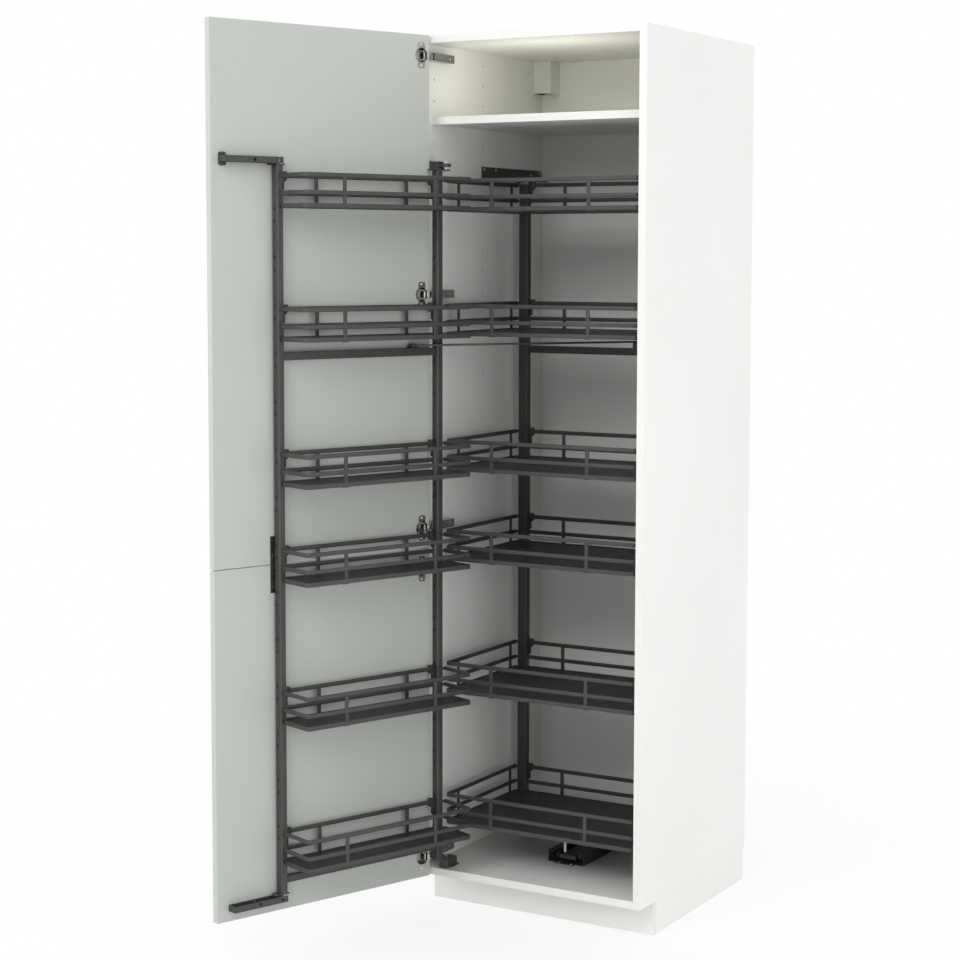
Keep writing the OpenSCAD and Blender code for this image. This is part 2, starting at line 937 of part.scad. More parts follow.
// Outline of the tray: the part in front of the uprights and the tongue between them.
module tray_outline(w, d, gap, back, r, inset) {
    translate([0, d / 2])
        round_rect(w - 2 * inset, d - 2 * inset, r - inset);
    translate([gap[0] + seat_play + inset, -back - rail_t / 2 + inset])
        square([gap[1] - gap[0] - 2 * seat_play - 2 * inset, back + rail_t / 2 + r]);
}

// A basket without its board. x across, y forwards from the front face of the uprights,
// z from the middle of the bottom rim. gap is the clear width between the uprights.
module basket(w, d, gap, back, r, front_posts, back_posts, side_posts, tabs) {
    difference() {
        translate([0, 0, -rail_h / 2])
            linear_extrude(rail_h)
                tray_outline(w, d, gap, back, r, 0);
        translate([0, 0, -rail_h / 2 + 2])
            linear_extrude(rail_h)
                tray_outline(w, d, gap, back, r, rim_t);
        translate([0, 0, -rail_h])
            linear_extrude(2 * rail_h)
                tray_outline(w, d, gap, back, r, rim_t + ledge_w > r ? r - 0.5 : rim_t + ledge_w);
    }
    for (z = [mid_rail, top_rail])
        translate([0, 0, z]) {
            rail_loop(w, d, r);
            rail_x(gap[0], gap[1], -back);
            box([-w / 2, 0, -rail_h / 2 + 2], [tabs[0], 1.5, rail_h / 2 - 2]);
            box([tabs[1], 0, -rail_h / 2 + 2], [w / 2, 1.5, rail_h / 2 - 2]);
        }
    foot = -rail_h / 2 + 2 + tray_t + seat_play;
    h = top_rail - rail_h / 2 + 1;
    for (x = front_posts)
        box([x - post_w / 2, d - (rail_t + post_t) / 2, foot],
            [x + post_w / 2, d - (rail_t - post_t) / 2, h]);
    for (x = front_posts)
        box([x - 8, d - rail_t - 1, -rail_h / 2 - 1.5], [x + 8, d - 1, -rail_h / 2]);
    for (x = back_posts)
        box([x - post_w / 2, -back - post_t / 2, foot], [x + post_w / 2, -back + post_t / 2, h]);
    for (y = side_posts, s = [-1, 1])
        translate([s * (w - rail_t) / 2, y, 0])
            box([-post_t / 2, -post_w / 2, foot], [post_t / 2, post_w / 2, h]);
}

module tray_board(w, d, gap, back, r) {
    translate([0, 0, -rail_h / 2 + 2])
        linear_extrude(tray_t)
            tray_outline(w, d, gap, back, r, rim_t + seat_play);
}

door_gap_x = [inner_at + upright_w / 2 - door_basket_mid, outer_at - upright_w / 2 - door_basket_mid];
door_tab_x = [inner_at + upright_w / 2 - 2 - door_basket_mid, outer_at - upright_w / 2 + 2 - door_basket_mid];
inner_gap_x = [-inner_face, inner_face];

module at_door_basket(i) {
    on_door()
        translate([door_basket_mid, rack_off + upright_d / 2, basket_zs[i]])
            children();
}

module at_inner_basket(i) {
    translate([0, inner_y, basket_zs[i]])
        mirror([0, 1, 0])
            children();
}

module door_basket(i) {
    post = door_basket_w / 2 - door_post_inset;
    color(anthracite)
        at_door_basket(i)
            basket(door_basket_w, door_basket_d, door_gap_x, upright_d / 2, door_corner,
                [-post, post], [-post, post], [], door_tab_x);
}

module inner_basket(i) {
    post = inner_basket_w / 2 - inner_post_inset;
    back_post = inner_basket_w / 2 - back_post_inset;
    color(anthracite)
        at_inner_basket(i)
            basket(inner_basket_w, inner_basket_d, inner_gap_x, 7, inner_corner,
                [-post, post], [-back_post, back_post],
                [side_post_inset[0], inner_basket_d - side_post_inset[1]],
                [-inner_face - 2, inner_face + 2]);
}

module door_basket_1() {
    door_basket(0);
}

module door_basket_2() {
    door_basket(1);
}

module door_basket_3() {
    door_basket(2);
}

module door_basket_4() {
    door_basket(3);
}

module door_basket_5() {
    door_basket(4);
}

module door_basket_6() {
    door_basket(5);
}

module inner_basket_1() {
    inner_basket(0);
}

module inner_basket_2() {
    inner_basket(1);
}

module inner_basket_3() {
    inner_basket(2);
}

module inner_basket_4() {
    inner_basket(3);
}

module inner_basket_5() {
    inner_basket(4);
}

module inner_basket_6() {
    inner_basket(5);
}

module door_tray_boards() {
    color(dark)
        for (i = [0 : 5])
            at_door_basket(i)
                tray_board(door_basket_w, door_basket_d, door_gap_x, upright_d / 2, door_corner);
}

module inner_tray_boards() {
    color(dark)
        for (i = [0 : 5])
            at_inner_basket(i)
                tray_board(inner_basket_w, inner_basket_d, inner_gap_x, 7, inner_corner);
}

// A clip grips the back rails beside an upright: a head over the top rail and a leg below it.
module clip(back) {
    difference() {
        union() {
            box([0, -back - 5, top_rail - rail_h / 2 - 1], [14, -back + 5, top_rail + rail_h / 2 + 3]);
            box([0, -back - 5, mid_rail + rail_h / 2 + 1], [5, -back + 5, top_rail]);
        }
        translate([0, 0, top_rail])
            rail_x(-1, 20, -back);
    }
}

module basket_clips(gap, back) {
    translate([gap[0], 0, 0])
        clip(back);
    translate([gap[1], 0, 0])
        mirror([1, 0, 0])
            clip(back);
}

module door_basket_clips() {
    color(dark)
        for (i = [0 : 5])
            at_door_basket(i)
                basket_clips(door_gap_x, upright_d / 2);
}

module inner_basket_clips() {
    color(dark)
        for (i = [0 : 5])
            at_inner_basket(i)
                basket_clips(inner_gap_x, 7);
}

// ---- inner rack ----

module inner_upright(side) {
    w = post_sec[0];
    d = post_sec[1];
    translate([side * (inner_half - w / 2), inner_bar_y, inner_bottom])
        mirror([side > 0 ? 1 : 0, 0, 0])
            difference() {
                linear_extrude(inner_top - inner_bottom)
                    difference() {
                        upright_section(w, d, 0);
                        upright_section(w, d, upright_t);
                    }
                translate([w / 2, 0, -inner_bottom])
                    slots(6);
            }
}

module inner_upright_left() {
    color(anthracite)
        inner_upright(-1);
}

module inner_upright_right() {
    color(anthracite)
        inner_upright(1);
}

module inner_crossbars() {
    color(anthracite) {
        for (z = [inner_bottom, inner_bar_z - bar_h / 2])
            box([-inner_face, inner_bar_y - 6, z], [inner_face, inner_bar_y + 6, z + bar_h]);
        box([rod_x - 14, inner_bar_y - 8, inner_bar_z + bar_h / 2],
            [rod_x + 14, inner_bar_y + 8, rod_low - side_play]);
    }
}

module inner_carriage() {
    half = wheel_off - wheel_half - 4;
    y0 = wheel_ys[0] - 16;
    y1 = inner_bar_y + 6;
    color(dark)
        difference() {
            union() {
                box([runner_x - half, y0, wheel_z - 5], [runner_x + half, y1, wheel_z + 5]);
                box([runner_x - half + 2, y1 - 14, wheel_z + 5 - e], [runner_x + half - 2, y1, inner_bottom]);
            }
            for (y = wheel_ys)
                translate([runner_x - wheel_off, y, wheel_z])
                    rotate([0, 90, 0])
                        cylinder(d = 6 + 2 * turn_play, h = 2 * wheel_off);
        }
}

// A peg under the lowest tray, over the open slot of the runner.
module carriage_peg() {
    tip = floor_z + runner_size[1] + 0.5;
    seat = basket_zs[0] - rail_h / 2 + 2;
    color(white)
        translate([runner_x - 2, front + runner_start, 0])
            rotate_extrude()
                polygon([[0, tip], [1.6, tip], [2.8, tip + 1.2], [peg_d / 2, tip + 3],
                    [peg_d / 2, seat - 2], [peg_d, seat - 2], [peg_d, seat], [0, seat]]);
}

module wheel_pair(y) {
    translate([runner_x, y, wheel_z])
        rotate([0, 90, 0]) {
            cylinder(d = 6, h = 2 * (wheel_off + wheel_half), center = true);
            for (s = [-1, 1])
                translate([0, 0, s * wheel_off])
                    rotate_extrude()
                        polygon([[0, -wheel_half], [wheel_d / 2 - 1.5, -wheel_half],
                            [wheel_d / 2, -wheel_half + 1.5], [wheel_d / 2, wheel_half - 1.5],
                            [wheel_d / 2 - 1.5, wheel_half], [0, wheel_half]]);
        }
}

module front_wheels() {
    color(dark)
        wheel_pair(wheel_ys[0]);
}

module rear_wheels() {
    color(dark)
        wheel_pair(wheel_ys[1]);
}

module roller_bracket() {
    color(anthracite) {
        box([roller_x - 10, inner_y + 2, inner_top], [-inner_face, inner_y + post_sec[1] - 2, inner_top + 3]);
        translate([roller_x, inner_bar_y, inner_top])
            cylinder(d = 16, h = 3);
        translate([roller_x, inner_bar_y, inner_top + 3])
            cylinder(d = 6, h = roller_z + 8 - inner_top - 3);
        translate([roller_x, inner_bar_y, roller_z + 8])
            cylinder(d = 10, h = 2.5);
    }
}

module guide_roller() {
    groove = guide_t + 1;
    color(white)
        translate([roller_x, inner_bar_y, roller_z])
            rotate_extrude()
                polygon([[3 + turn_play, -7], [12, -7], [12, -groove / 2], [7.7, -groove / 2],
                    [7.7, groove / 2], [12, groove / 2], [12, 7], [3 + turn_play, 7]]);
}

module connecting_rod() {
    color(dark) {
        p = rod_end_p();
        q = [rod_x, inner_bar_y];
        l = norm(q - p);
        translate([p[0], p[1], rod_low])
            rotate(atan2(q[1] - p[1], q[0] - p[0]))
                difference() {
                    linear_extrude(rod_t) {
                        translate([0, -rod_w / 2])
                            square([l, rod_w]);
                        circle(d = rod_w + 4);
                        translate([l, 0])
                            circle(d = rod_w + 4);
                    }
                    translate([0, 0, -1])
                        cylinder(d = rod_pin_d + 2 * turn_play, h = rod_t + 2);
                }
        translate([q[0], q[1], rod_low + rod_t])
            cylinder(d = rod_pin_d + 4, h = 2);
    }
}

function rod_end_p() = [
    door_corner_x + rod_at * cos(door_open) + rack_off * sin(door_open),
    door_corner_y - rod_at * sin(door_open) + rack_off * cos(door_open)];

// ---- guides and pivots ----

// Screw places: along and above the start of the guide rail, and across the runner's tongue
guide_screw_at = [[10, 23], [67, 23], [guide_l - 54.2, 16], [guide_l - 11.2, 23]];
tongue_screw_x = [-16, 16];
// Wall plate of the top pivot bracket behind the cabinet's front, and its screws
pivot_plate_y = [6, 78];
pivot_screw_y = [pivot_plate_y[1] - 20, pivot_plate_y[1] - 8];

module top_guide_rail() {
    y0 = front + guide_start;
    color(anthracite)
        difference() {
            union() {
                box([-in_x, y0, guide_z], [-in_x + guide_t, y0 + guide_l, guide_z + guide_size[0]]);
                box([-in_x, y0, guide_z], [-in_x + guide_size[1], y0 + guide_l, guide_z + guide_t]);
            }
            for (p = guide_screw_at)
                translate([-in_x - 1, y0 + p[0], guide_z + p[1]])
                    rotate([0, 90, 0])
                        cylinder(d = 4.2, h = 10);
        }
}

module floor_runner() {
    y0 = front + runner_start;
    w = runner_size[0];
    h = runner_size[1];
    lip = 16;
    color(dark)
        translate([runner_x, y0, floor_z])
            difference() {
                union() {
                    difference() {
                        box([-w / 2, 0, 0], [w / 2, runner_l, h]);
                        box([-w / 2 + runner_t, -1, runner_t],
                            [w / 2 - runner_t, runner_l + 1, h - runner_t]);
                        box([-w / 2 + lip, -1, runner_t], [w / 2 - lip, runner_l + 1, h + 1]);
                    }
                    box([-25, -9, 0], [25, 1, runner_t]);
                }
                for (x = tongue_screw_x)
                    translate([x, -3, -1])
                        cylinder(d = 3.6, h = 5);
            }
}

module rail_screws() {
    y0 = front + guide_start;
    color(bright) {
        for (p = guide_screw_at)
            translate([-in_x, y0 + p[0], guide_z + p[1]])
                rotate([0, 90, 0]) {
                    cylinder(d = 4, h = guide_t);
                    translate([0, 0, guide_t])
                        cylinder(d1 = 7, d2 = 5, h = 1.8);
                }
        for (y = pivot_screw_y, z = [6, 16])
            translate([-in_x, front + y, plate_top + z])
                rotate([0, 90, 0]) {
                    cylinder(d = 3.8, h = 3);
                    translate([0, 0, 3])
                        cylinder(d1 = 7, d2 = 5, h = 1.8);
                }
        for (x = tongue_screw_x)
            translate([runner_x + x, front + runner_start - 3, floor_z]) {
                cylinder(d = 3.4, h = runner_t);
                translate([0, 0, runner_t])
                    cylinder(d1 = 7, d2 = 5, h = 1.8);
            }
    }
}

module bottom_pivot_bracket() {
    top = plate_bottom - 0.1;
    color(anthracite) {
        translate([pivot[0], pivot[1] + 11.5, floor_z])
            linear_extrude(top - 3 - floor_z)
                round_rect(24, 45, 2);
        translate([pivot[0], pivot[1] + 22, floor_z])
            linear_extrude(2.5)
                round_rect(30, 36, 2);
        translate([pivot[0], pivot[1], top - 3])
            cylinder(d = 16, h = 3);
    }
}

module top_pivot_bracket() {
    z0 = plate_top + 1;
    color(anthracite)
        difference() {
            union() {
                box([-in_x, front + pivot_plate_y[0], z0], [-in_x + 3, front + pivot_plate_y[1], z0 + 20]);
                box([-in_x + 3, front + 8, z0 + 1], [pivot[0] - 12, front + 40, z0 + 18]);
                box([pivot[0] - 12, front + 11, z0 + 5], [pivot[0], front + 29, z0 + 13]);
                translate([pivot[0], pivot[1], z0 + 5])
                    cylinder(d = 24, h = 8);
            }
            for (y = pivot_screw_y, z = [5, 15])
                translate([-in_x - 1, front + y, z0 + z])
                    rotate([0, 90, 0])
                        cylinder(d = 4, h = 6);
        }
}

module pivot_pins() {
    z0 = plate_top + 1;
    color(bright) {
        translate([pivot[0], pivot[1], plate_bottom - 0.1])
            cylinder(d = pivot_d, h = end_plate_t + 1);
        translate([pivot[0], pivot[1], rack_top - 1])
            cylinder(d = pivot_d, h = z0 + 5 - rack_top + 1);
        translate([pivot[0], pivot[1], z0 + 2])
            cylinder(d = 13, h = 3, $fn = 6);
        translate([pivot[0], pivot[1], z0 + 13])
            cylinder(d = 13, h = 5, $fn = 6);
    }
}

// ---- what is drawn ----

side_panel_left();
side_panel_right();
top_panel();
bottom_panel();
upper_shelf();
back_panel();
plinth_front();
plinth_sides();
levelling_feet();
bracket_covers();
hinge_arms();
hinge_screws();
hinge_links();
hinge_cups();
hinge_cup_screws();
door_lower();
door_upper();
door_joining_plate();
door_screws();
bottom_track();
top_track();
top_track_plate();
track_glides();
rack_upright_outer();
rack_upright_inner();
rack_crossbars();
rack_end_plates();
rod_block();
door_basket_1();
door_basket_2();
door_basket_3();
door_basket_4();
door_basket_5();
door_basket_6();
door_tray_boards();
door_basket_clips();
inner_basket_1();
inner_basket_2();
inner_basket_3();
inner_basket_4();
inner_basket_5();
inner_basket_6();
inner_tray_boards();
inner_basket_clips();
inner_upright_left();
inner_upright_right();
inner_crossbars();
inner_carriage();
carriage_peg();
front_wheels();
rear_wheels();
roller_bracket();
guide_roller();
connecting_rod();
top_guide_rail();
floor_runner();
rail_screws();
bottom_pivot_bracket();
top_pivot_bracket();
pivot_pins();
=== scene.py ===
import json
import math

import bmesh
import bpy
from mathutils import Matrix, Vector


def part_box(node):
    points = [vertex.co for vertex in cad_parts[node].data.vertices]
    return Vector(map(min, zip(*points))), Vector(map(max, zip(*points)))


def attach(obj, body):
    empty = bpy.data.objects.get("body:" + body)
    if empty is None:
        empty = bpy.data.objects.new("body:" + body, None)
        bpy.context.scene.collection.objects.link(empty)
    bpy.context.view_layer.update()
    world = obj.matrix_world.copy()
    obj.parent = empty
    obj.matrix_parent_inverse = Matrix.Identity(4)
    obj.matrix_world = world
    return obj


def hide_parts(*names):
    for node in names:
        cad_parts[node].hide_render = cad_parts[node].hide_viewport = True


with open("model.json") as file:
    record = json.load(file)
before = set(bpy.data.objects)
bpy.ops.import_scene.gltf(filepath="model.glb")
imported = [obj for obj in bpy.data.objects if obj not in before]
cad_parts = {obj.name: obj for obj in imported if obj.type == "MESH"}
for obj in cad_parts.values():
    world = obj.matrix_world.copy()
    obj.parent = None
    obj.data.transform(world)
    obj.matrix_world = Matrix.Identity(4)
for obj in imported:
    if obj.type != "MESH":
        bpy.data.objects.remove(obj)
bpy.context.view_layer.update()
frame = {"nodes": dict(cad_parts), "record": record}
nodes = frame["nodes"]
scene = bpy.context.scene
print("stage: frame loaded,", len(nodes), "nodes")


# ---- finishes ----

def startMaterial(name):
    mat = bpy.data.materials.new(name)
    mat.use_nodes = True
    tree = mat.node_tree
    shader = tree.nodes["Principled BSDF"]
    place = tree.nodes.new("ShaderNodeTexCoord").outputs["Object"]
    return mat, tree, shader, place


def noiseAt(tree, place, scale, detail=2.0, rough=0.5, stretch=None):
    if stretch:  # a longer grain along one or two axes
        mapping = tree.nodes.new("ShaderNodeMapping")
        mapping.inputs["Scale"].default_value = stretch
        tree.links.new(place, mapping.inputs["Vector"])
        place = mapping.outputs["Vector"]
    noise = tree.nodes.new("ShaderNodeTexNoise")
    noise.inputs["Scale"].default_value = scale
    noise.inputs["Detail"].default_value = detail
    noise.inputs["Roughness"].default_value = rough
    tree.links.new(place, noise.inputs["Vector"])
    return noise.outputs["Fac"]


def colourBetween(tree, fac, low, high, start=0.3, end=0.7):
    ramp = tree.nodes.new("ShaderNodeValToRGB")
    ramp.color_ramp.elements[0].position = start
    ramp.color_ramp.elements[0].color = (*low, 1)
    ramp.color_ramp.elements[1].position = end
    ramp.color_ramp.elements[1].color = (*high, 1)
    tree.links.new(fac, ramp.inputs["Fac"])
    return ramp.outputs["Color"]


def valueBetween(tree, fac, low, high):
    span = tree.nodes.new("ShaderNodeMapRange")
    span.inputs["From Min"].default_value = 0.3
    span.inputs["From Max"].default_value = 0.7
    span.inputs["To Min"].default_value = low
    span.inputs["To Max"].default_value = high
    tree.links.new(fac, span.inputs["Value"])
    return span.outputs["Result"]


def addBump(tree, shader, heights, distance):
    total = heights[0]
    for extra in heights[1:]:
        both = tree.nodes.new("ShaderNodeMath")
        both.operation = "ADD"
        tree.links.new(total, both.inputs[0])
        tree.links.new(extra, both.inputs[1])
        total = both.outputs[0]
    bump = tree.nodes.new("ShaderNodeBump")
    bump.inputs["Strength"].default_value = 1.0
    bump.inputs["Distance"].default_value = distance
    tree.links.new(total, bump.inputs["Height"])
    tree.links.new(bump.outputs["Normal"], shader.inputs["Normal"])


boardFinish = {
    "tone": (0.83, 0.83, 0.80),  # melamine white
    "toneDark": (0.80, 0.80, 0.77),
    "pearl": 1400.0,  # grain per metre
    "pearlDeep": 0.00002,
    "cloud": 2.2,
    "fibre": 160.0,
    "gloss": (0.38, 0.5),
    "edgeTone": (0.75, 0.75, 0.72),
    "edgeToneDark": (0.73, 0.73, 0.70),
    "edgeCloud": 5.0,
    "edgeLines": 700.0,  # faint, along the strip
    "edgeGloss": (0.3, 0.36),
    "doorTone": (0.46, 0.48, 0.447),  # grey green lacquer
    "doorToneDark": (0.445, 0.465, 0.433),
}


def boardFaceFinish(name, tone, toneDark):
    mat, tree, shader, place = startMaterial(name)
    cloud = noiseAt(tree, place, boardFinish["cloud"], 3.0)
    pearl = noiseAt(tree, place, boardFinish["pearl"], 1.0)
    fibre = noiseAt(tree, place, boardFinish["fibre"], 2.0, stretch=(1, 1, 0.2))
    tree.links.new(colourBetween(tree, cloud, toneDark, tone), shader.inputs["Base Color"])
    tree.links.new(valueBetween(tree, fibre, *boardFinish["gloss"]), shader.inputs["Roughness"])
    addBump(tree, shader, [pearl, fibre], boardFinish["pearlDeep"])
    return mat


def edgingFinish(name, tone, toneDark):
    mat, tree, shader, place = startMaterial(name)
    cloud = noiseAt(tree, place, boardFinish["edgeCloud"], 2.0)
    drawn = noiseAt(tree, place, boardFinish["edgeLines"], 1.0, stretch=(1, 1, 0.05))
    tree.links.new(colourBetween(tree, cloud, toneDark, tone), shader.inputs["Base Color"])
    tree.links.new(valueBetween(tree, drawn, *boardFinish["edgeGloss"]), shader.inputs["Roughness"])
    addBump(tree, shader, [drawn], boardFinish["pearlDeep"] / 2)
    return mat


steelFinish = {
    "tone": (0.048, 0.047, 0.045),  # anthracite powder coat
    "toneDark": (0.038, 0.037, 0.036),
    "cloud": 9.0,
    "peel": 420.0,  # the coat's slight orange peel
    "grit": 2600.0,
    "gritDeep": 0.00003,
    "gloss": (0.36, 0.48),
}


def coatedSteelFinish():
    mat, tree, shader, place = startMaterial("anthraciteCoat")
    cloud = noiseAt(tree, place, steelFinish["cloud"], 2.0)
    grit = noiseAt(tree, place, steelFinish["grit"], 2.0)
    peel = noiseAt(tree, place, steelFinish["peel"], 1.0)
    tone = colourBetween(tree, cloud, steelFinish["toneDark"], steelFinish["tone"])
    tree.links.new(tone, shader.inputs["Base Color"])
    tree.links.new(valueBetween(tree, peel, *steelFinish["gloss"]), shader.inputs["Roughness"])
    addBump(tree, shader, [grit, peel], steelFinish["gritDeep"])
    return mat


trayFinish = {
    "tone": (0.034, 0.034, 0.033),
    "toneDark": (0.024, 0.024, 0.024),
    "grain": 90.0,
    "speck": 1800.0,
    "grainDeep": 0.00006,
    "gloss": (0.42, 0.58),
}


def trayFinishMaterial():
    mat, tree, shader, place = startMaterial("trayFoil")
    grain = noiseAt(tree, place, trayFinish["grain"], 4.0, 0.6, stretch=(0.12, 1, 1))
    speck = noiseAt(tree, place, trayFinish["speck"], 1.0)
    tone = colourBetween(tree, grain, trayFinish["toneDark"], trayFinish["tone"])
    tree.links.new(tone, shader.inputs["Base Color"])
    tree.links.new(valueBetween(tree, grain, *trayFinish["gloss"]), shader.inputs["Roughness"])
    addBump(tree, shader, [grain, speck], trayFinish["grainDeep"])
    return mat


mouldFinish = {
    "cloud": 30.0,
    "spark": 1500.0,  # spark-eroded mould texture
    "sparkDeep": 0.00003,
    "glossSpan": 0.1,
}


def mouldedFinish(name, tone, toneDark, gloss):
    mat, tree, shader, place = startMaterial(name)
    cloud = noiseAt(tree, place, mouldFinish["cloud"], 2.0)
    spark = noiseAt(tree, place, mouldFinish["spark"], 1.0)
    least, most = gloss, gloss + mouldFinish["glossSpan"]
    tree.links.new(colourBetween(tree, cloud, toneDark, tone), shader.inputs["Base Color"])
    tree.links.new(valueBetween(tree, spark, least, most), shader.inputs["Roughness"])
    addBump(tree, shader, [spark], mouldFinish["sparkDeep"])
    return mat


plateFinish = {
    "cloud": 60.0,
    "brush": 900.0,
    "brushDeep": 0.00001,
    "glossSpan": 0.14,
}


def platedFinish(name, tone, toneDark, gloss, stretch):
    mat, tree, shader, place = startMaterial(name)
    shader.inputs["Metallic"].default_value = 1.0
    cloud = noiseAt(tree, place, plateFinish["cloud"], 2.0)
    brush = noiseAt(tree, place, plateFinish["brush"], 2.0, stretch=stretch)
    least, most = gloss, gloss + plateFinish["glossSpan"]
    tree.links.new(colourBetween(tree, cloud, toneDark, tone), shader.inputs["Base Color"])
    tree.links.new(valueBetween(tree, brush, least, most), shader.inputs["Roughness"])
    addBump(tree, shader, [brush], plateFinish["brushDeep"])
    return mat


finishes = {
    "white_board": boardFaceFinish("melamineWhite", boardFinish["tone"], boardFinish["toneDark"]),
    "door_board": boardFaceFinish("doorLacquer", boardFinish["doorTone"], boardFinish["doorToneDark"]),
    "coated_steel": coatedSteelFinish(),
    "tray_board": trayFinishMaterial(),
    "dark_plastic": mouldedFinish("blackPlastic", (0.022, 0.022, 0.022), (0.015, 0.015, 0.015), 0.34),
    "white_plastic": mouldedFinish("whitePlastic", (0.78, 0.78, 0.76), (0.74, 0.74, 0.72), 0.3),
    "hinge_nickel": platedFinish("nickelPlate", (0.45, 0.445, 0.43), (0.36, 0.355, 0.345), 0.14,
                                 (1, 1, 0.15)),
    "screw_steel": platedFinish("zincPlate", (0.72, 0.72, 0.72), (0.62, 0.62, 0.63), 0.2, (1, 1, 1)),
    "joining_brass": platedFinish("darkBrass", (0.20, 0.17, 0.125), (0.11, 0.093, 0.07), 0.28, (1, 1, 0.1)),
}
edgings = {
    "white_board": edgingFinish("whiteEdging", boardFinish["edgeTone"], boardFinish["edgeToneDark"]),
    "door_board": edgingFinish("doorEdging", boardFinish["doorTone"], boardFinish["doorToneDark"]),
}
slotOfNode = {part["node"]: part["material_slot"] for part in frame["record"]["subparts"]}
slotOfNode["guide_roller"] = "dark_plastic"  # the photograph shows no white roller
slotOfNode["door_screws"] = "joining_brass"  # nor bright heads on the joining plate
for nodeName, node in nodes.items():
    for holder in node.material_slots:
        holder.material = finishes[slotOfNode[nodeName]]
print("stage: finishes on the frame")


# ---- from the frame to finished pieces ----

def meshObject(name, mesh):
    obj = bpy.data.objects.new(name, mesh)
    scene.collection.objects.link(obj)
    return obj


def settle(obj):
    # live modifiers become plain mesh, so that what rides is final
    graph = bpy.context.evaluated_depsgraph_get()
    mesh = bpy.data.meshes.new_from_object(obj.evaluated_get(graph))
    obj.modifiers.clear()
    obj.data = mesh
    return obj


def shadeRound(mesh, degrees=35):
    mesh.polygons.foreach_set("use_smooth", [True] * len(mesh.polygons))
    mesh.set_sharp_from_angle(angle=math.radians(degrees))


bodyOfNode = {n: body for body, members in frame["record"]["behaviour"]["bodies"].items() for n in members}
mergeReach = 2e-6
edgeSet = {
    "flatAngle": 0.4,  # degrees between faces that count as one
    "sharpAngle": 38.0,
    "steps": 2,
    "faceWeight": 100,
}


def fitOver(obj, node):
    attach(obj, bodyOfNode[node])
    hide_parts(node)
    return obj


def softened(node, name, edge, flat=False):
    # a merged copy of a frame node with its sharp edges broken; flat keeps every face plain in the shading
    mesh = nodes[node].data.copy()
    work = bmesh.new()
    work.from_mesh(mesh)
    bmesh.ops.remove_doubles(work, verts=work.verts, dist=mergeReach)
    level = math.radians(edgeSet["flatAngle"])
    bmesh.ops.dissolve_limit(work, angle_limit=level, verts=work.verts, edges=work.edges)
    work.to_mesh(mesh)
    work.free()
    mesh.polygons.foreach_set("use_smooth", [True] * len(mesh.polygons))
    obj = meshObject(name, mesh)
    bevel = obj.modifiers.new("edges", "BEVEL")
    bevel.width = edge
    bevel.segments = edgeSet["steps"]
    bevel.limit_method = "ANGLE"
    bevel.angle_limit = math.radians(edgeSet["sharpAngle"])
    bevel.use_clamp_overlap = True
    if not flat:
        weighted = obj.modifiers.new("weighted", "WEIGHTED_NORMAL")  # broad faces rule at the rounded edges
        weighted.mode = "FACE_AREA"
        weighted.weight = edgeSet["faceWeight"]
        weighted.keep_sharp = True
    settle(obj)
    mesh = obj.data
    if flat:
        mesh.polygons.foreach_set("use_smooth", [False] * len(mesh.polygons))
    mesh.materials.clear()
    mesh.materials.append(finishes[slotOfNode[node]])
    mesh.polygons.foreach_set("material_index", [0] * len(mesh.polygons))
    return fitOver(obj, node)


def bandEdges(obj, node):
    # the narrow sides of a board carry an edging strip
    mesh = obj.data
    mesh.materials.append(edgings[slotOfNode[node]])
    broad = max(mesh.polygons, key=lambda face: face.area).normal.copy()
    for face in mesh.polygons:
        face.material_index = 1 if abs(face.normal.dot(broad)) < 0.5 else 0


softEdges = {
    # node: edge rounding in mm
    "hinge_arms": 0.35,
    "hinge_links": 0.3,
    "hinge_cups": 0.25,
    "door_joining_plate": 0.4,
    "bottom_track": 0.35,
    "top_track": 0.35,
    "top_track_plate": 0.5,
    "track_glides": 0.6,
    "rack_end_plates": 0.5,
    "rack_crossbars": 0.9,
    "inner_crossbars": 0.9,
    "rod_block": 0.5,
    "connecting_rod": 0.6,
    "inner_carriage": 1.0,
    "roller_bracket": 0.4,
    "top_guide_rail": 0.4,
    "floor_runner": 0.4,
    "bottom_pivot_bracket": 0.8,
    "top_pivot_bracket": 0.6,
    "bracket_covers": 1.2,
    "front_wheels": 0.5,
    "rear_wheels": 0.5,
    "guide_roller": 0.5,
    "pivot_pins": 0.4,
    "carriage_peg": 0.2,
    "levelling_feet": 0.6,
}


def plainName(node):
    words = node.split("_")
    return words[0] + "".join(w.capitalize() for w in words[1:])


for node, edge in softEdges.items():
    softened(node, plainName(node), edge / 1000)
print("stage: small parts with broken edges")

boardEdges = {
    "side_panel_left": 0.6,
    "side_panel_right": 0.6,
    "top_panel": 0.5,
    "bottom_panel": 0.5,
    "upper_shelf": 0.5,
    "plinth_front": 0.6,
    "plinth_sides": 0.6,
    "back_panel": 0.3,
    "door_lower": 0.9,
    "door_upper": 0.9,
}
for node, edge in boardEdges.items():
    board = softened(node, plainName(node), edge / 1000, flat=True)
    if node not in ("back_panel", "plinth_sides"):
        bandEdges(board, node)
print("stage: boards with banded edges")


# ---- baskets ----

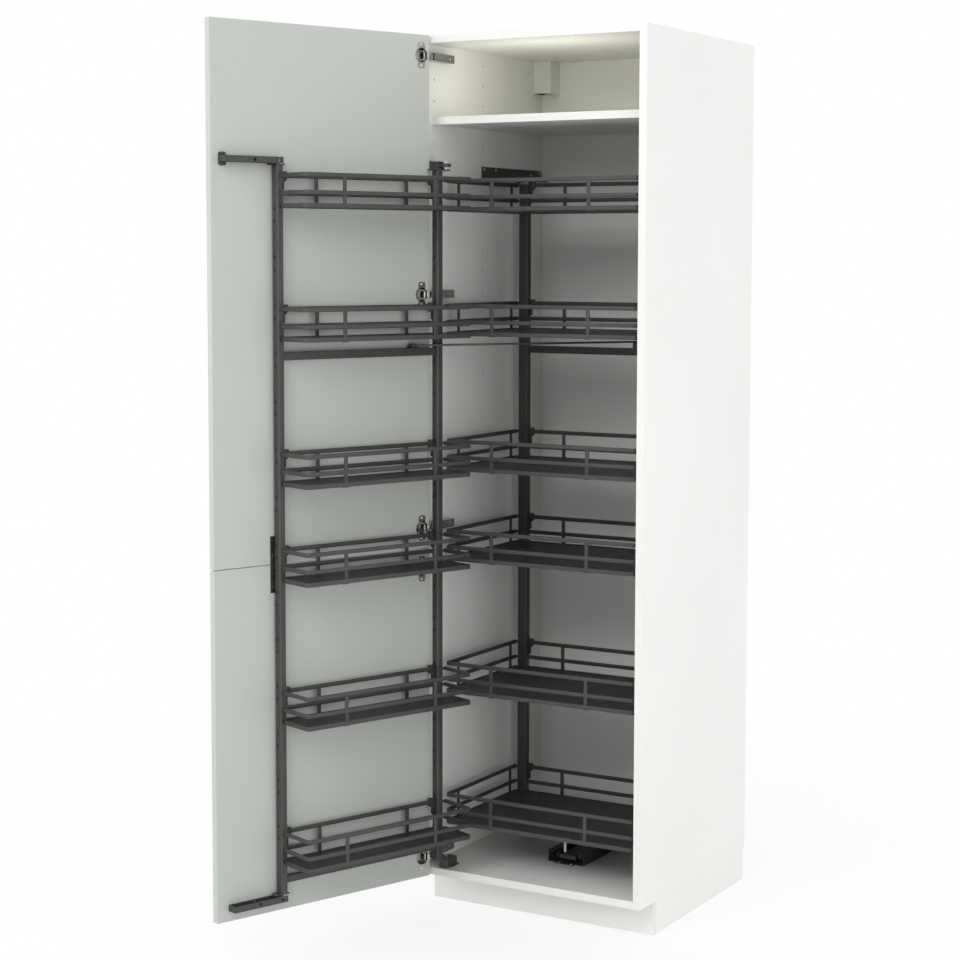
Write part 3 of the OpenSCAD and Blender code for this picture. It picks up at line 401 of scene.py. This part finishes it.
basketSizes = {
    "railTall": 10.0,
    "railThick": 4.5,
    "railRound": 0.48,  # share of the rail's thickness
    "rimTall": 10.0,
    "rimThick": 3.0,
    "rimRound": 0.45,
    "tongueBend": 1.5,
    "midRail": 28.0,
    "topRail": 66.5,
    "postWide": 9.0,
    "postThick": 3.0,
    "postFoot": 2.3,  # above the tray board
    "postSink": 1.0,  # into the top rail
    "ledge": 5.0,
    "ledgeBite": 0.2,  # into the rim
    "ledgeFrom": 0.1,  # the ledge's underside and top, above the rim's bottom
    "ledgeTo": 2,
    "boardPlay": 0.3,
    "padDown": 6.5,  # the pads under the front posts, below the rim's middle
    "padHalf": 8.0,
    "padTop": 4.9,
    "padInset": 1,
    "tabHalf": 3.0,
    "tabThick": 1.5,
    "tabReach": 2,  # past the gap between the uprights
    "tabBite": 0.2,
    "tabEdge": 0.3,
}
doorBasket = {"wide": 465.0, "deep": 101.0, "gap": (-208.0, 223.0), "back": 11.0, "corner": 9.0,
              "frontPosts": (-126.0, 126.0), "backPosts": (-126.0, 126.0), "sidePosts": (),
              "middle": 203.0, "away": 24.0}
innerBasket = {"wide": 504.0, "deep": 342.0, "gap": (-219.0, 219.0), "back": 7.0, "corner": 6.0,
               "frontPosts": (-127.0, 127.0), "backPosts": (-118.0, 118.0), "sidePosts": (29.0, 286.0),
               "face": 312.0}
doorHang = {"at": (-0.256136, -0.098033, 0), "turn": -110.6}  # metres and degrees, at rest
doorPlace = Matrix.Translation(doorHang["at"]) @ Matrix.Rotation(math.radians(doorHang["turn"]), 4, "Z")


def barTree():
    # bars that follow the host's wires; "bend" on a wire's point is the radius of its corner
    tree = bpy.data.node_groups.new("barsAlongWires", "GeometryNodeTree")
    face = tree.interface
    face.new_socket("Wires", in_out="INPUT", socket_type="NodeSocketGeometry")
    for label, value in (("Bar thickness", 0.0045), ("Bar height", 0.01), ("Edge rounding", 0.002)):
        socket = face.new_socket(label, in_out="INPUT", socket_type="NodeSocketFloat")
        socket.default_value = value
        socket.subtype = "DISTANCE"
    face.new_socket("Coating", in_out="INPUT", socket_type="NodeSocketMaterial")
    face.new_socket("Bars", in_out="OUTPUT", socket_type="NodeSocketGeometry")
    new, link = tree.nodes.new, tree.links.new
    given, out = new("NodeGroupInput"), new("NodeGroupOutput")
    bend = new("GeometryNodeInputNamedAttribute")
    bend.data_type = "FLOAT"
    bend.inputs["Name"].default_value = "bend"
    curve, corner = new("GeometryNodeMeshToCurve"), new("GeometryNodeFilletCurve")
    level = new("GeometryNodeSetCurveNormal")
    corner.mode = "POLY"
    corner.inputs["Count"].default_value = 5
    level.mode = "Z_UP"
    profile, rounding = new("GeometryNodeCurvePrimitiveQuadrilateral"), new("GeometryNodeFilletCurve")
    sweep = new("GeometryNodeCurveToMesh")
    rounding.mode = "POLY"
    rounding.inputs["Count"].default_value = 4
    sweep.inputs["Fill Caps"].default_value = True
    real, coat = new("GeometryNodeRealizeInstances"), new("GeometryNodeSetMaterial")
    link(given.outputs["Wires"], curve.inputs["Mesh"])
    link(curve.outputs["Curve"], corner.inputs["Curve"])
    link(bend.outputs["Attribute"], corner.inputs["Radius"])
    link(corner.outputs["Curve"], level.inputs["Curve"])
    link(given.outputs["Bar thickness"], profile.inputs["Width"])
    link(given.outputs["Bar height"], profile.inputs["Height"])
    link(profile.outputs["Curve"], rounding.inputs["Curve"])
    link(given.outputs["Edge rounding"], rounding.inputs["Radius"])
    link(level.outputs["Curve"], sweep.inputs["Curve"])
    link(rounding.outputs["Curve"], sweep.inputs["Profile Curve"])
    link(sweep.outputs["Mesh"], real.inputs["Geometry"])
    link(real.outputs["Geometry"], coat.inputs["Geometry"])
    link(given.outputs["Coating"], coat.inputs["Material"])
    link(coat.outputs["Geometry"], out.inputs["Bars"])
    return tree


def setInputs(modifier, **values):
    ids = {s.name: s.identifier for s in modifier.node_group.interface.items_tree if s.in_out == "INPUT"}
    for label, value in values.items():
        modifier[ids[label.replace("_", " ")]] = value


barsAlongWires = barTree()


def bars(wires, thick, tall, rounding, coating):
    # wires: lists of (x, y, z, bend) in mm; closed when the first point comes again
    points, edges, bends = [], [], []
    for wire in wires:
        closed = wire[0][:3] == wire[-1][:3]
        run = wire[:-1] if closed else wire
        first = len(points)
        points += [Vector(p[:3]) / 1000 for p in run]
        bends += [p[3] / 1000 for p in run]
        edges += [(first + i, first + i + 1) for i in range(len(run) - 1)]
        if closed:
            edges.append((first + len(run) - 1, first))
    mesh = bpy.data.meshes.new("wires")
    mesh.from_pydata(points, edges, [])
    mesh.attributes.new("bend", "FLOAT", "POINT").data.foreach_set("value", bends)
    obj = meshObject("wires", mesh)
    modifier = obj.modifiers.new("bars", "NODES")
    modifier.node_group = barsAlongWires
    setInputs(modifier, Bar_thickness=thick / 1000, Bar_height=tall / 1000,
              Edge_rounding=rounding / 1000, Coating=coating)
    settle(obj)
    mesh = obj.data
    bpy.data.objects.remove(obj)
    return mesh


def roundedBlock(work, low, high, edge=0.4):
    made = bmesh.ops.create_cube(work, size=1)["verts"]
    low, high = Vector(low) / 1000, Vector(high) / 1000
    for v in made:
        v.co = Vector(((low[i] + high[i]) / 2 + v.co[i] * (high[i] - low[i])) for i in range(3))
    rims = list({e for v in made for e in v.link_edges})
    bmesh.ops.bevel(work, geom=rims, offset=edge / 1000, segments=2, affect="EDGES", profile=0.5)


def railWires(b):
    s = basketSizes
    t = s["railThick"] / 2
    x, y, bend = b["wide"] / 2 - t, b["deep"] - t, b["corner"] - t
    wires = []
    for z in (s["midRail"], s["topRail"]):
        wires.append([(-x, 0, z, 0), (-x, y, z, bend), (x, y, z, bend), (x, 0, z, 0)])
        wires.append([(b["gap"][0], -b["back"], z, 0), (b["gap"][1], -b["back"], z, 0)])
    return wires


def trayOutline(b, inset):
    # anticlockwise from the back left corner, with the tongue between the uprights
    s = basketSizes
    half, rear = b["wide"] / 2 - inset, -b["back"] - s["railThick"] / 2 + inset
    left, right = b["gap"][0] + s["boardPlay"] + inset, b["gap"][1] - s["boardPlay"] - inset
    front = b["deep"] - inset
    return [(-half, inset), (left, inset), (left, rear), (right, rear), (right, inset), (half, inset),
            (half, front), (-half, front)]


def rimWire(b):
    w = basketSizes["rimThick"] / 2
    bends = [b["corner"] - w] + [basketSizes["tongueBend"]] * 4 + [b["corner"] - w] * 3
    wire = [(x, y, 0, bend) for (x, y), bend in zip(trayOutline(b, w), bends)]
    return wire + wire[:1]


def addLedge(work, b):
    # the flat strip inside the rim that carries the board
    s = basketSizes
    low, high = -s["rimTall"] / 2 + s["ledgeFrom"], -s["rimTall"] / 2 + s["ledgeTo"]
    outer = trayOutline(b, s["rimThick"] - s["ledgeBite"])
    hole = trayOutline(b, s["rimThick"] + s["ledge"])
    rings = [[work.verts.new((x / 1000, y / 1000, z / 1000)) for x, y in outline]
             for outline, z in ((outer, low), (hole, low), (hole, high), (outer, high))]
    for k, ring in enumerate(rings):
        following = rings[(k + 1) % 4]
        for i in range(len(ring)):
            j = (i + 1) % len(ring)
            work.faces.new((ring[i], following[i], following[j], ring[j]))


def addPosts(work, b):
    s = basketSizes
    half, deep, back, t = b["wide"] / 2, b["deep"], b["back"], s["railThick"] / 2
    foot, top = s["postFoot"], s["topRail"] - s["railTall"] / 2 + s["postSink"]
    inset, bite, reach = s["padInset"], s["tabBite"], s["tabReach"]
    wide, thick, pad = s["postWide"] / 2, s["postThick"] / 2, s["padHalf"]
    for x in b["frontPosts"]:
        roundedBlock(work, (x - wide, deep - t - thick, foot), (x + wide, deep - t + thick, top))
        padLow, padHigh = (x - pad, deep - 2 * t - inset, -s["padDown"]), (x + pad, deep - inset, -s["padTop"])
        roundedBlock(work, padLow, padHigh)
    for x in b["backPosts"]:
        roundedBlock(work, (x - wide, -back - thick, foot), (x + wide, -back + thick, top))
    for y in b["sidePosts"]:
        for x in (-half + t, half - t):
            roundedBlock(work, (x - thick, y - wide, foot), (x + thick, y + wide, top))
    for z in (s["midRail"], s["topRail"]):
        low, high = z - s["tabHalf"], z + s["tabHalf"]
        roundedBlock(work, (-half + bite, 0, low), (b["gap"][0] - reach, s["tabThick"], high), s["tabEdge"])
        roundedBlock(work, (b["gap"][1] + reach, 0, low), (half - bite, s["tabThick"], high), s["tabEdge"])


def basketMesh(name, b):
    s = basketSizes
    coat = finishes["coated_steel"]
    work = bmesh.new()
    railRound = s["railThick"] * s["railRound"]
    work.from_mesh(bars(railWires(b), s["railThick"], s["railTall"], railRound, coat))
    work.from_mesh(bars([rimWire(b)], s["rimThick"], s["rimTall"], s["rimRound"], coat))
    addPosts(work, b)
    addLedge(work, b)
    bmesh.ops.recalc_face_normals(work, faces=work.faces)
    for face in work.faces:
        face.material_index = 0
    mesh = bpy.data.meshes.new(name)
    work.to_mesh(mesh)
    work.free()
    mesh.materials.append(coat)
    shadeRound(mesh, 40)
    return mesh


def placeCopy(mesh, place, node):
    # one basket of a rack, at the height of its frame node
    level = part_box(node)[0].z + basketSizes["padDown"] / 1000
    copy = mesh.copy()
    copy.transform(Matrix.Translation((0, 0, level)) @ place)
    if place.determinant() < 0:
        copy.flip_normals()
    fitOver(meshObject(plainName(node), copy), node)


doorBasketMesh = basketMesh("doorBasket", doorBasket)
innerBasketMesh = basketMesh("innerBasket", innerBasket)
onDoorRack = doorPlace @ Matrix.Translation((doorBasket["middle"] / 1000, doorBasket["away"] / 1000, 0))
onInnerRack = Matrix.Translation((0, innerBasket["face"] / 1000, 0)) @ Matrix.Scale(-1, 4, (0, 1, 0))
for level in range(1, 7):
    placeCopy(doorBasketMesh, onDoorRack, f"door_basket_{level}")
    placeCopy(innerBasketMesh, onInnerRack, f"inner_basket_{level}")


clipSizes = {
    # a hook over the top back rail, with a cheek under it and a leg down beside the upright, in mm
    "outline": ((0, 76), (16, 76), (16, 61), (13, 56), (8, 53), (8, 36), (0, 36)),
    "half": 5.0,
    "edge": 0.7,
}


def addClip(work, b, end):
    # in the basket's own frame; the second end is the mirror of the first
    side = 1 if end == 0 else -1
    profile = [(b["gap"][end] + side * x, z) for x, z in clipSizes["outline"]]
    low, high = -b["back"] - clipSizes["half"], -b["back"] + clipSizes["half"]
    rings = [[work.verts.new((x / 1000, y / 1000, z / 1000)) for x, z in profile] for y in (low, high)]
    walls = [work.faces.new(rings[0]), work.faces.new(reversed(rings[1]))]
    for i in range(len(profile)):
        j = (i + 1) % len(profile)
        walls.append(work.faces.new((rings[0][j], rings[0][i], rings[1][i], rings[1][j])))
    bmesh.ops.recalc_face_normals(work, faces=walls)
    edges = list({edge for wall in walls for edge in wall.edges})
    bmesh.ops.bevel(work, geom=edges, offset=clipSizes["edge"] / 1000, segments=2, affect="EDGES",
                    profile=0.5)


def clips(b, place, baskets, node):
    work = bmesh.new()
    for basket in baskets:
        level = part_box(basket)[0].z + basketSizes["padDown"] / 1000
        pair = bmesh.new()
        addClip(pair, b, 0)
        addClip(pair, b, 1)
        pair.transform(Matrix.Translation((0, 0, level)) @ place)
        mesh = bpy.data.meshes.new("clipPair")
        pair.to_mesh(mesh)
        pair.free()
        work.from_mesh(mesh)
        bpy.data.meshes.remove(mesh)
    bmesh.ops.recalc_face_normals(work, faces=work.faces)
    mesh = bpy.data.meshes.new(plainName(node))
    work.to_mesh(mesh)
    work.free()
    mesh.materials.append(finishes[slotOfNode[node]])
    shadeRound(mesh, 50)
    fitOver(meshObject(plainName(node), mesh), node)


clips(doorBasket, onDoorRack, [f"door_basket_{level}" for level in range(1, 7)], "door_basket_clips")
clips(innerBasket, onInnerRack, [f"inner_basket_{level}" for level in range(1, 7)], "inner_basket_clips")
print("stage: baskets and clips")


# ---- screws ----

screwSizes = {
    # node: head across, head height and shank across, in mm
    "hinge_screws": (6.0, 1.8, 4.0),
    "hinge_cup_screws": (7.0, 1.6, 4.0),
    "door_screws": (6.0, 1.5, 3.4),
    "rail_screws": (7.0, 1.8, 3.8),
}
screwRecess = {"Recess_width": 0.13, "Recess_length": 0.66, "Recess_depth": 0.55}  # shares of the head
screwTurn = 2.4  # radians from one screw's cross to the next
leastShank = 0.0002
runnerLevel = 0.2  # screws below this height hold the floor runner
doorFacing = doorPlace.to_3x3() @ Vector((0, 1, 0))


def screwTree():
    # on each point a domed head, one across and one tall before scaling, with a crossed recess and a shank
    tree = bpy.data.node_groups.new("screwsOnPoints", "GeometryNodeTree")
    face = tree.interface
    face.new_socket("Places", in_out="INPUT", socket_type="NodeSocketGeometry")
    for label in ("Recess width", "Recess length", "Recess depth"):
        face.new_socket(label, in_out="INPUT", socket_type="NodeSocketFloat")
    face.new_socket("Plating", in_out="INPUT", socket_type="NodeSocketMaterial")
    face.new_socket("Screws", in_out="OUTPUT", socket_type="NodeSocketGeometry")
    new, link = tree.nodes.new, tree.links.new
    given, out = new("NodeGroupInput"), new("NodeGroupOutput")

    def moved(mesh, offset, scale=(1, 1, 1)):
        node = new("GeometryNodeTransform")
        node.inputs["Translation"].default_value = offset
        node.inputs["Scale"].default_value = scale
        link(mesh, node.inputs["Geometry"])
        return node.outputs["Geometry"]

    def noted(label, kind):
        node = new("GeometryNodeInputNamedAttribute")
        node.data_type = kind
        node.inputs["Name"].default_value = label
        return node.outputs["Attribute"]

    dome, cut = new("GeometryNodeMeshUVSphere"), new("GeometryNodeMeshBoolean")
    dome.inputs["Segments"].default_value = 28
    dome.inputs["Rings"].default_value = 14
    dome.inputs["Radius"].default_value = 0.5
    cut.operation = "DIFFERENCE"
    link(moved(dome.outputs["Mesh"], (0, 0, 0), (1, 1, 2)), cut.inputs["Mesh 1"])
    below = new("GeometryNodeMeshCube")
    below.inputs["Size"].default_value = (2, 2, 2)
    link(moved(below.outputs["Mesh"], (0, 0, -1)), cut.inputs["Mesh 2"])
    twice = new("ShaderNodeMath")
    twice.operation = "MULTIPLY"
    twice.inputs[1].default_value = 2.0
    link(given.outputs["Recess depth"], twice.inputs[0])
    for along, over in (("Recess length", "Recess width"), ("Recess width", "Recess length")):
        bar, size = new("GeometryNodeMeshCube"), new("ShaderNodeCombineXYZ")
        link(given.outputs[along], size.inputs["X"])
        link(given.outputs[over], size.inputs["Y"])
        link(twice.outputs[0], size.inputs["Z"])
        link(size.outputs[0], bar.inputs["Size"])
        link(moved(bar.outputs["Mesh"], (0, 0, 1)), cut.inputs["Mesh 2"])
    shank = new("GeometryNodeMeshCylinder")
    shank.inputs["Vertices"].default_value = 20
    shank.inputs["Radius"].default_value = 0.5
    shank.inputs["Depth"].default_value = 1.0

    aim, spin = new("FunctionNodeAlignRotationToVector"), new("FunctionNodeRotateRotation")
    about = new("FunctionNodeAxisAngleToRotation")
    aim.axis = "Z"
    spin.rotation_space = "LOCAL"
    about.inputs["Axis"].default_value = (0, 0, 1)
    link(noted("facing", "FLOAT_VECTOR"), aim.inputs["Vector"])
    link(noted("turn", "FLOAT"), about.inputs["Angle"])
    link(aim.outputs["Rotation"], spin.inputs["Rotation"])
    link(about.outputs["Rotation"], spin.inputs["Rotate By"])
    join, real = new("GeometryNodeJoinGeometry"), new("GeometryNodeRealizeInstances")
    coat = new("GeometryNodeSetMaterial")
    sunk = moved(shank.outputs["Mesh"], (0, 0, -0.5))
    for mesh, size in ((cut.outputs["Mesh"], "headSize"), (sunk, "shankSize")):
        put = new("GeometryNodeInstanceOnPoints")
        link(given.outputs["Places"], put.inputs["Points"])
        link(mesh, put.inputs["Instance"])
        link(spin.outputs["Rotation"], put.inputs["Rotation"])
        link(noted(size, "FLOAT_VECTOR"), put.inputs["Scale"])
        link(put.outputs["Instances"], join.inputs["Geometry"])
    link(join.outputs["Geometry"], real.inputs["Geometry"])
    link(real.outputs["Geometry"], coat.inputs["Geometry"])
    link(given.outputs["Plating"], coat.inputs["Material"])
    link(coat.outputs["Geometry"], out.inputs["Screws"])
    return tree


def looseParts(node):
    # corner points of each separate solid of a frame node
    work = bmesh.new()
    work.from_mesh(nodes[node].data)
    bmesh.ops.remove_doubles(work, verts=work.verts, dist=mergeReach)
    left, parts = set(work.verts), []
    while left:
        reached, part = [left.pop()], []
        while reached:
            vert = reached.pop()
            part.append(vert.co.copy())
            for edge in vert.link_edges:
                other = edge.other_vert(vert)
                if other in left:
                    left.remove(other)
                    reached.append(other)
        parts.append(part)
    work.free()
    return parts


def screwFacing(node, part):
    if node in ("hinge_cup_screws", "door_screws"):
        return doorFacing
    lowest = min(point.z for point in part)
    return Vector((0, 0, 1)) if lowest < runnerLevel else Vector((1, 0, 0))


screwsOnPoints = screwTree()


def screws(node):
    across, tall, shank = (size / 1000 for size in screwSizes[node])
    places, facings, depths = [], [], []
    for part in looseParts(node):
        facing = screwFacing(node, part)
        along = [point.dot(facing) for point in part]
        low, high = Vector(map(min, zip(*part))), Vector(map(max, zip(*part)))
        middle = (low + high) / 2
        places.append(middle + facing * (max(along) - tall - middle.dot(facing)))
        facings.append(facing)
        depths.append(max(max(along) - min(along) - tall, leastShank))
    mesh = bpy.data.meshes.new("screwPlaces")
    mesh.from_pydata(places, [], [])
    count = len(places)
    facts = {
        "facing": facings,
        "headSize": [(across, across, tall)] * count,
        "shankSize": [(shank, shank, depth) for depth in depths],
    }
    for label, values in facts.items():
        layer = mesh.attributes.new(label, "FLOAT_VECTOR", "POINT")
        layer.data.foreach_set("vector", [part for value in values for part in value])
    turns = [screwTurn * i for i in range(count)]
    mesh.attributes.new("turn", "FLOAT", "POINT").data.foreach_set("value", turns)
    obj = meshObject(plainName(node), mesh)
    modifier = obj.modifiers.new("screws", "NODES")
    modifier.node_group = screwsOnPoints
    setInputs(modifier, Plating=finishes[slotOfNode[node]], **screwRecess)
    settle(obj)
    shadeRound(obj.data, 40)
    fitOver(obj, node)


for node in screwSizes:
    screws(node)
print("stage: screws")


# ---- camera, light, floor ----

cameraSet = {
    "place": (2.349, -4.315, 1.567),
    "turn": 30.32,  # degrees towards the left
    "down": 5.04,
    "roll": 0.09,
    "lens": 78.87,
    "sensor": 36.0,
    "shiftUp": -0.04,
}


def makeCamera():
    data = bpy.data.cameras.new("camera")
    data.lens = cameraSet["lens"]
    data.sensor_width = cameraSet["sensor"]
    data.shift_y = cameraSet["shiftUp"]
    data.clip_start = 0.05
    data.clip_end = 100.0
    camera = bpy.data.objects.new("camera", data)
    turn, down, roll = (math.radians(cameraSet[k]) for k in ("turn", "down", "roll"))
    forward = Vector((-math.sin(turn) * math.cos(down), math.cos(turn) * math.cos(down), -math.sin(down)))
    level = Vector((math.cos(turn), math.sin(turn), 0))
    up = level.cross(forward)
    right = level * math.cos(roll) + up * math.sin(roll)
    up = right.cross(forward)
    axes = Matrix((right, up, -forward)).transposed()
    camera.matrix_world = Matrix.Translation(cameraSet["place"]) @ axes.to_4x4()
    scene.collection.objects.link(camera)
    scene.camera = camera


lampSet = {
    # name: place, aims at, size, power, colour
    "fillLeft": ((-4.0, -3.0, 2.0), (0.0, 0.2, 1.0), (3.0, 3.0), 36.0, (1, 1, 1)),
    "frontHigh": ((0.2, -4.2, 3.6), (0.0, 0.3, 1.0), (2.4, 2.4), 66.0, (1, 1, 1)),
    "keyRightLow": ((4.2, -2.6, 0.9), (0.0, -0.2, 0.9), (2.0, 2.0), 36.0, (1, 1, 1)),
    "shelfLamp": ((0.0, -0.03, 1.898), (0.0, 0.2, 2.08), (0.3, 0.02), 0.4, (1, 0.985, 0.80)),
}
roomSet = {
    "around": 0.98,  # strength of the plain room light
    "tint": (0.98, 0.99, 1, 1),
    "floorSize": 14.0,
    "floorTone": (0.86, 0.86, 0.86, 1),
    "floorDrop": 0.0005,  # below the plinth
    "fadeFrom": 0.8,  # metres from the middle
    "fadeTo": 2.6,
    "floorShade": 0.2,  # how much of the floor's own shading shows
}


def makeLamps():
    for name, (place, aim, size, power, colour) in lampSet.items():
        data = bpy.data.lights.new(name, "AREA")
        data.shape = "RECTANGLE"
        data.size, data.size_y = size
        data.energy = power
        data.color = colour
        lamp = bpy.data.objects.new(name, data)
        lamp.location = place
        lamp.rotation_mode = "QUATERNION"
        lamp.rotation_quaternion = (Vector(aim) - Vector(place)).to_track_quat("-Z", "Y")
        lamp.visible_camera = False
        scene.collection.objects.link(lamp)


def seenDirectly(tree):
    path = tree.nodes.new("ShaderNodeLightPath")
    total = path.outputs["Is Camera Ray"]
    for other in ("Is Glossy Ray", "Is Transmission Ray"):
        both = tree.nodes.new("ShaderNodeMath")
        both.operation = "MAXIMUM"
        tree.links.new(total, both.inputs[0])
        tree.links.new(path.outputs[other], both.inputs[1])
        total = both.outputs[0]
    return total


def makeRoom():
    world = bpy.data.worlds.new("paleRoom")
    scene.world = world
    world.use_nodes = True
    tree = world.node_tree
    tree.nodes.clear()
    out = tree.nodes.new("ShaderNodeOutputWorld")
    mix = tree.nodes.new("ShaderNodeMixShader")
    around = tree.nodes.new("ShaderNodeBackground")
    around.inputs["Color"].default_value = roomSet["tint"]
    around.inputs["Strength"].default_value = roomSet["around"]
    seen = tree.nodes.new("ShaderNodeBackground")
    seen.inputs["Color"].default_value = (1, 1, 1, 1)
    tree.links.new(seenDirectly(tree), mix.inputs["Fac"])
    tree.links.new(around.outputs[0], mix.inputs[1])
    tree.links.new(seen.outputs[0], mix.inputs[2])
    tree.links.new(mix.outputs[0], out.inputs["Surface"])

    half, level = roomSet["floorSize"] / 2, -roomSet["floorDrop"]
    corners = [(x, y, level) for x, y in ((-half, -half), (half, -half), (half, half), (-half, half))]
    mesh = bpy.data.meshes.new("floor")
    mesh.from_pydata(corners, [], [(0, 1, 2, 3)])
    floor = bpy.data.objects.new("floor", mesh)
    scene.collection.objects.link(floor)
    mat, tree, shader, place = startMaterial("paleFloor")
    shader.inputs["Base Color"].default_value = roomSet["floorTone"]
    shader.inputs["Roughness"].default_value = 0.9
    shader.inputs["Specular IOR Level"].default_value = 0.1
    glow = tree.nodes.new("ShaderNodeEmission")
    mix = tree.nodes.new("ShaderNodeMixShader")
    share = tree.nodes.new("ShaderNodeMath")
    share.operation = "MULTIPLY"
    far = tree.nodes.new("ShaderNodeVectorMath")  # away from the object the floor is as white as the room
    far.operation = "LENGTH"
    tree.links.new(place, far.inputs[0])
    fade = tree.nodes.new("ShaderNodeMapRange")
    fade.inputs["From Min"].default_value = roomSet["fadeFrom"]
    fade.inputs["From Max"].default_value = roomSet["fadeTo"]
    fade.inputs["To Min"].default_value = 1.0 - roomSet["floorShade"]
    fade.inputs["To Max"].default_value = 1.0
    tree.links.new(far.outputs["Value"], fade.inputs["Value"])
    tree.links.new(seenDirectly(tree), share.inputs[0])
    tree.links.new(fade.outputs["Result"], share.inputs[1])
    tree.links.new(share.outputs[0], mix.inputs["Fac"])
    tree.links.new(shader.outputs[0], mix.inputs[1])
    tree.links.new(glow.outputs[0], mix.inputs[2])
    tree.links.new(mix.outputs[0], tree.nodes["Material Output"].inputs["Surface"])
    floor.data.materials.append(mat)


makeCamera()
makeLamps()
makeRoom()
scene.view_settings.view_transform = "Standard"
print("stage: camera, lamps and floor")
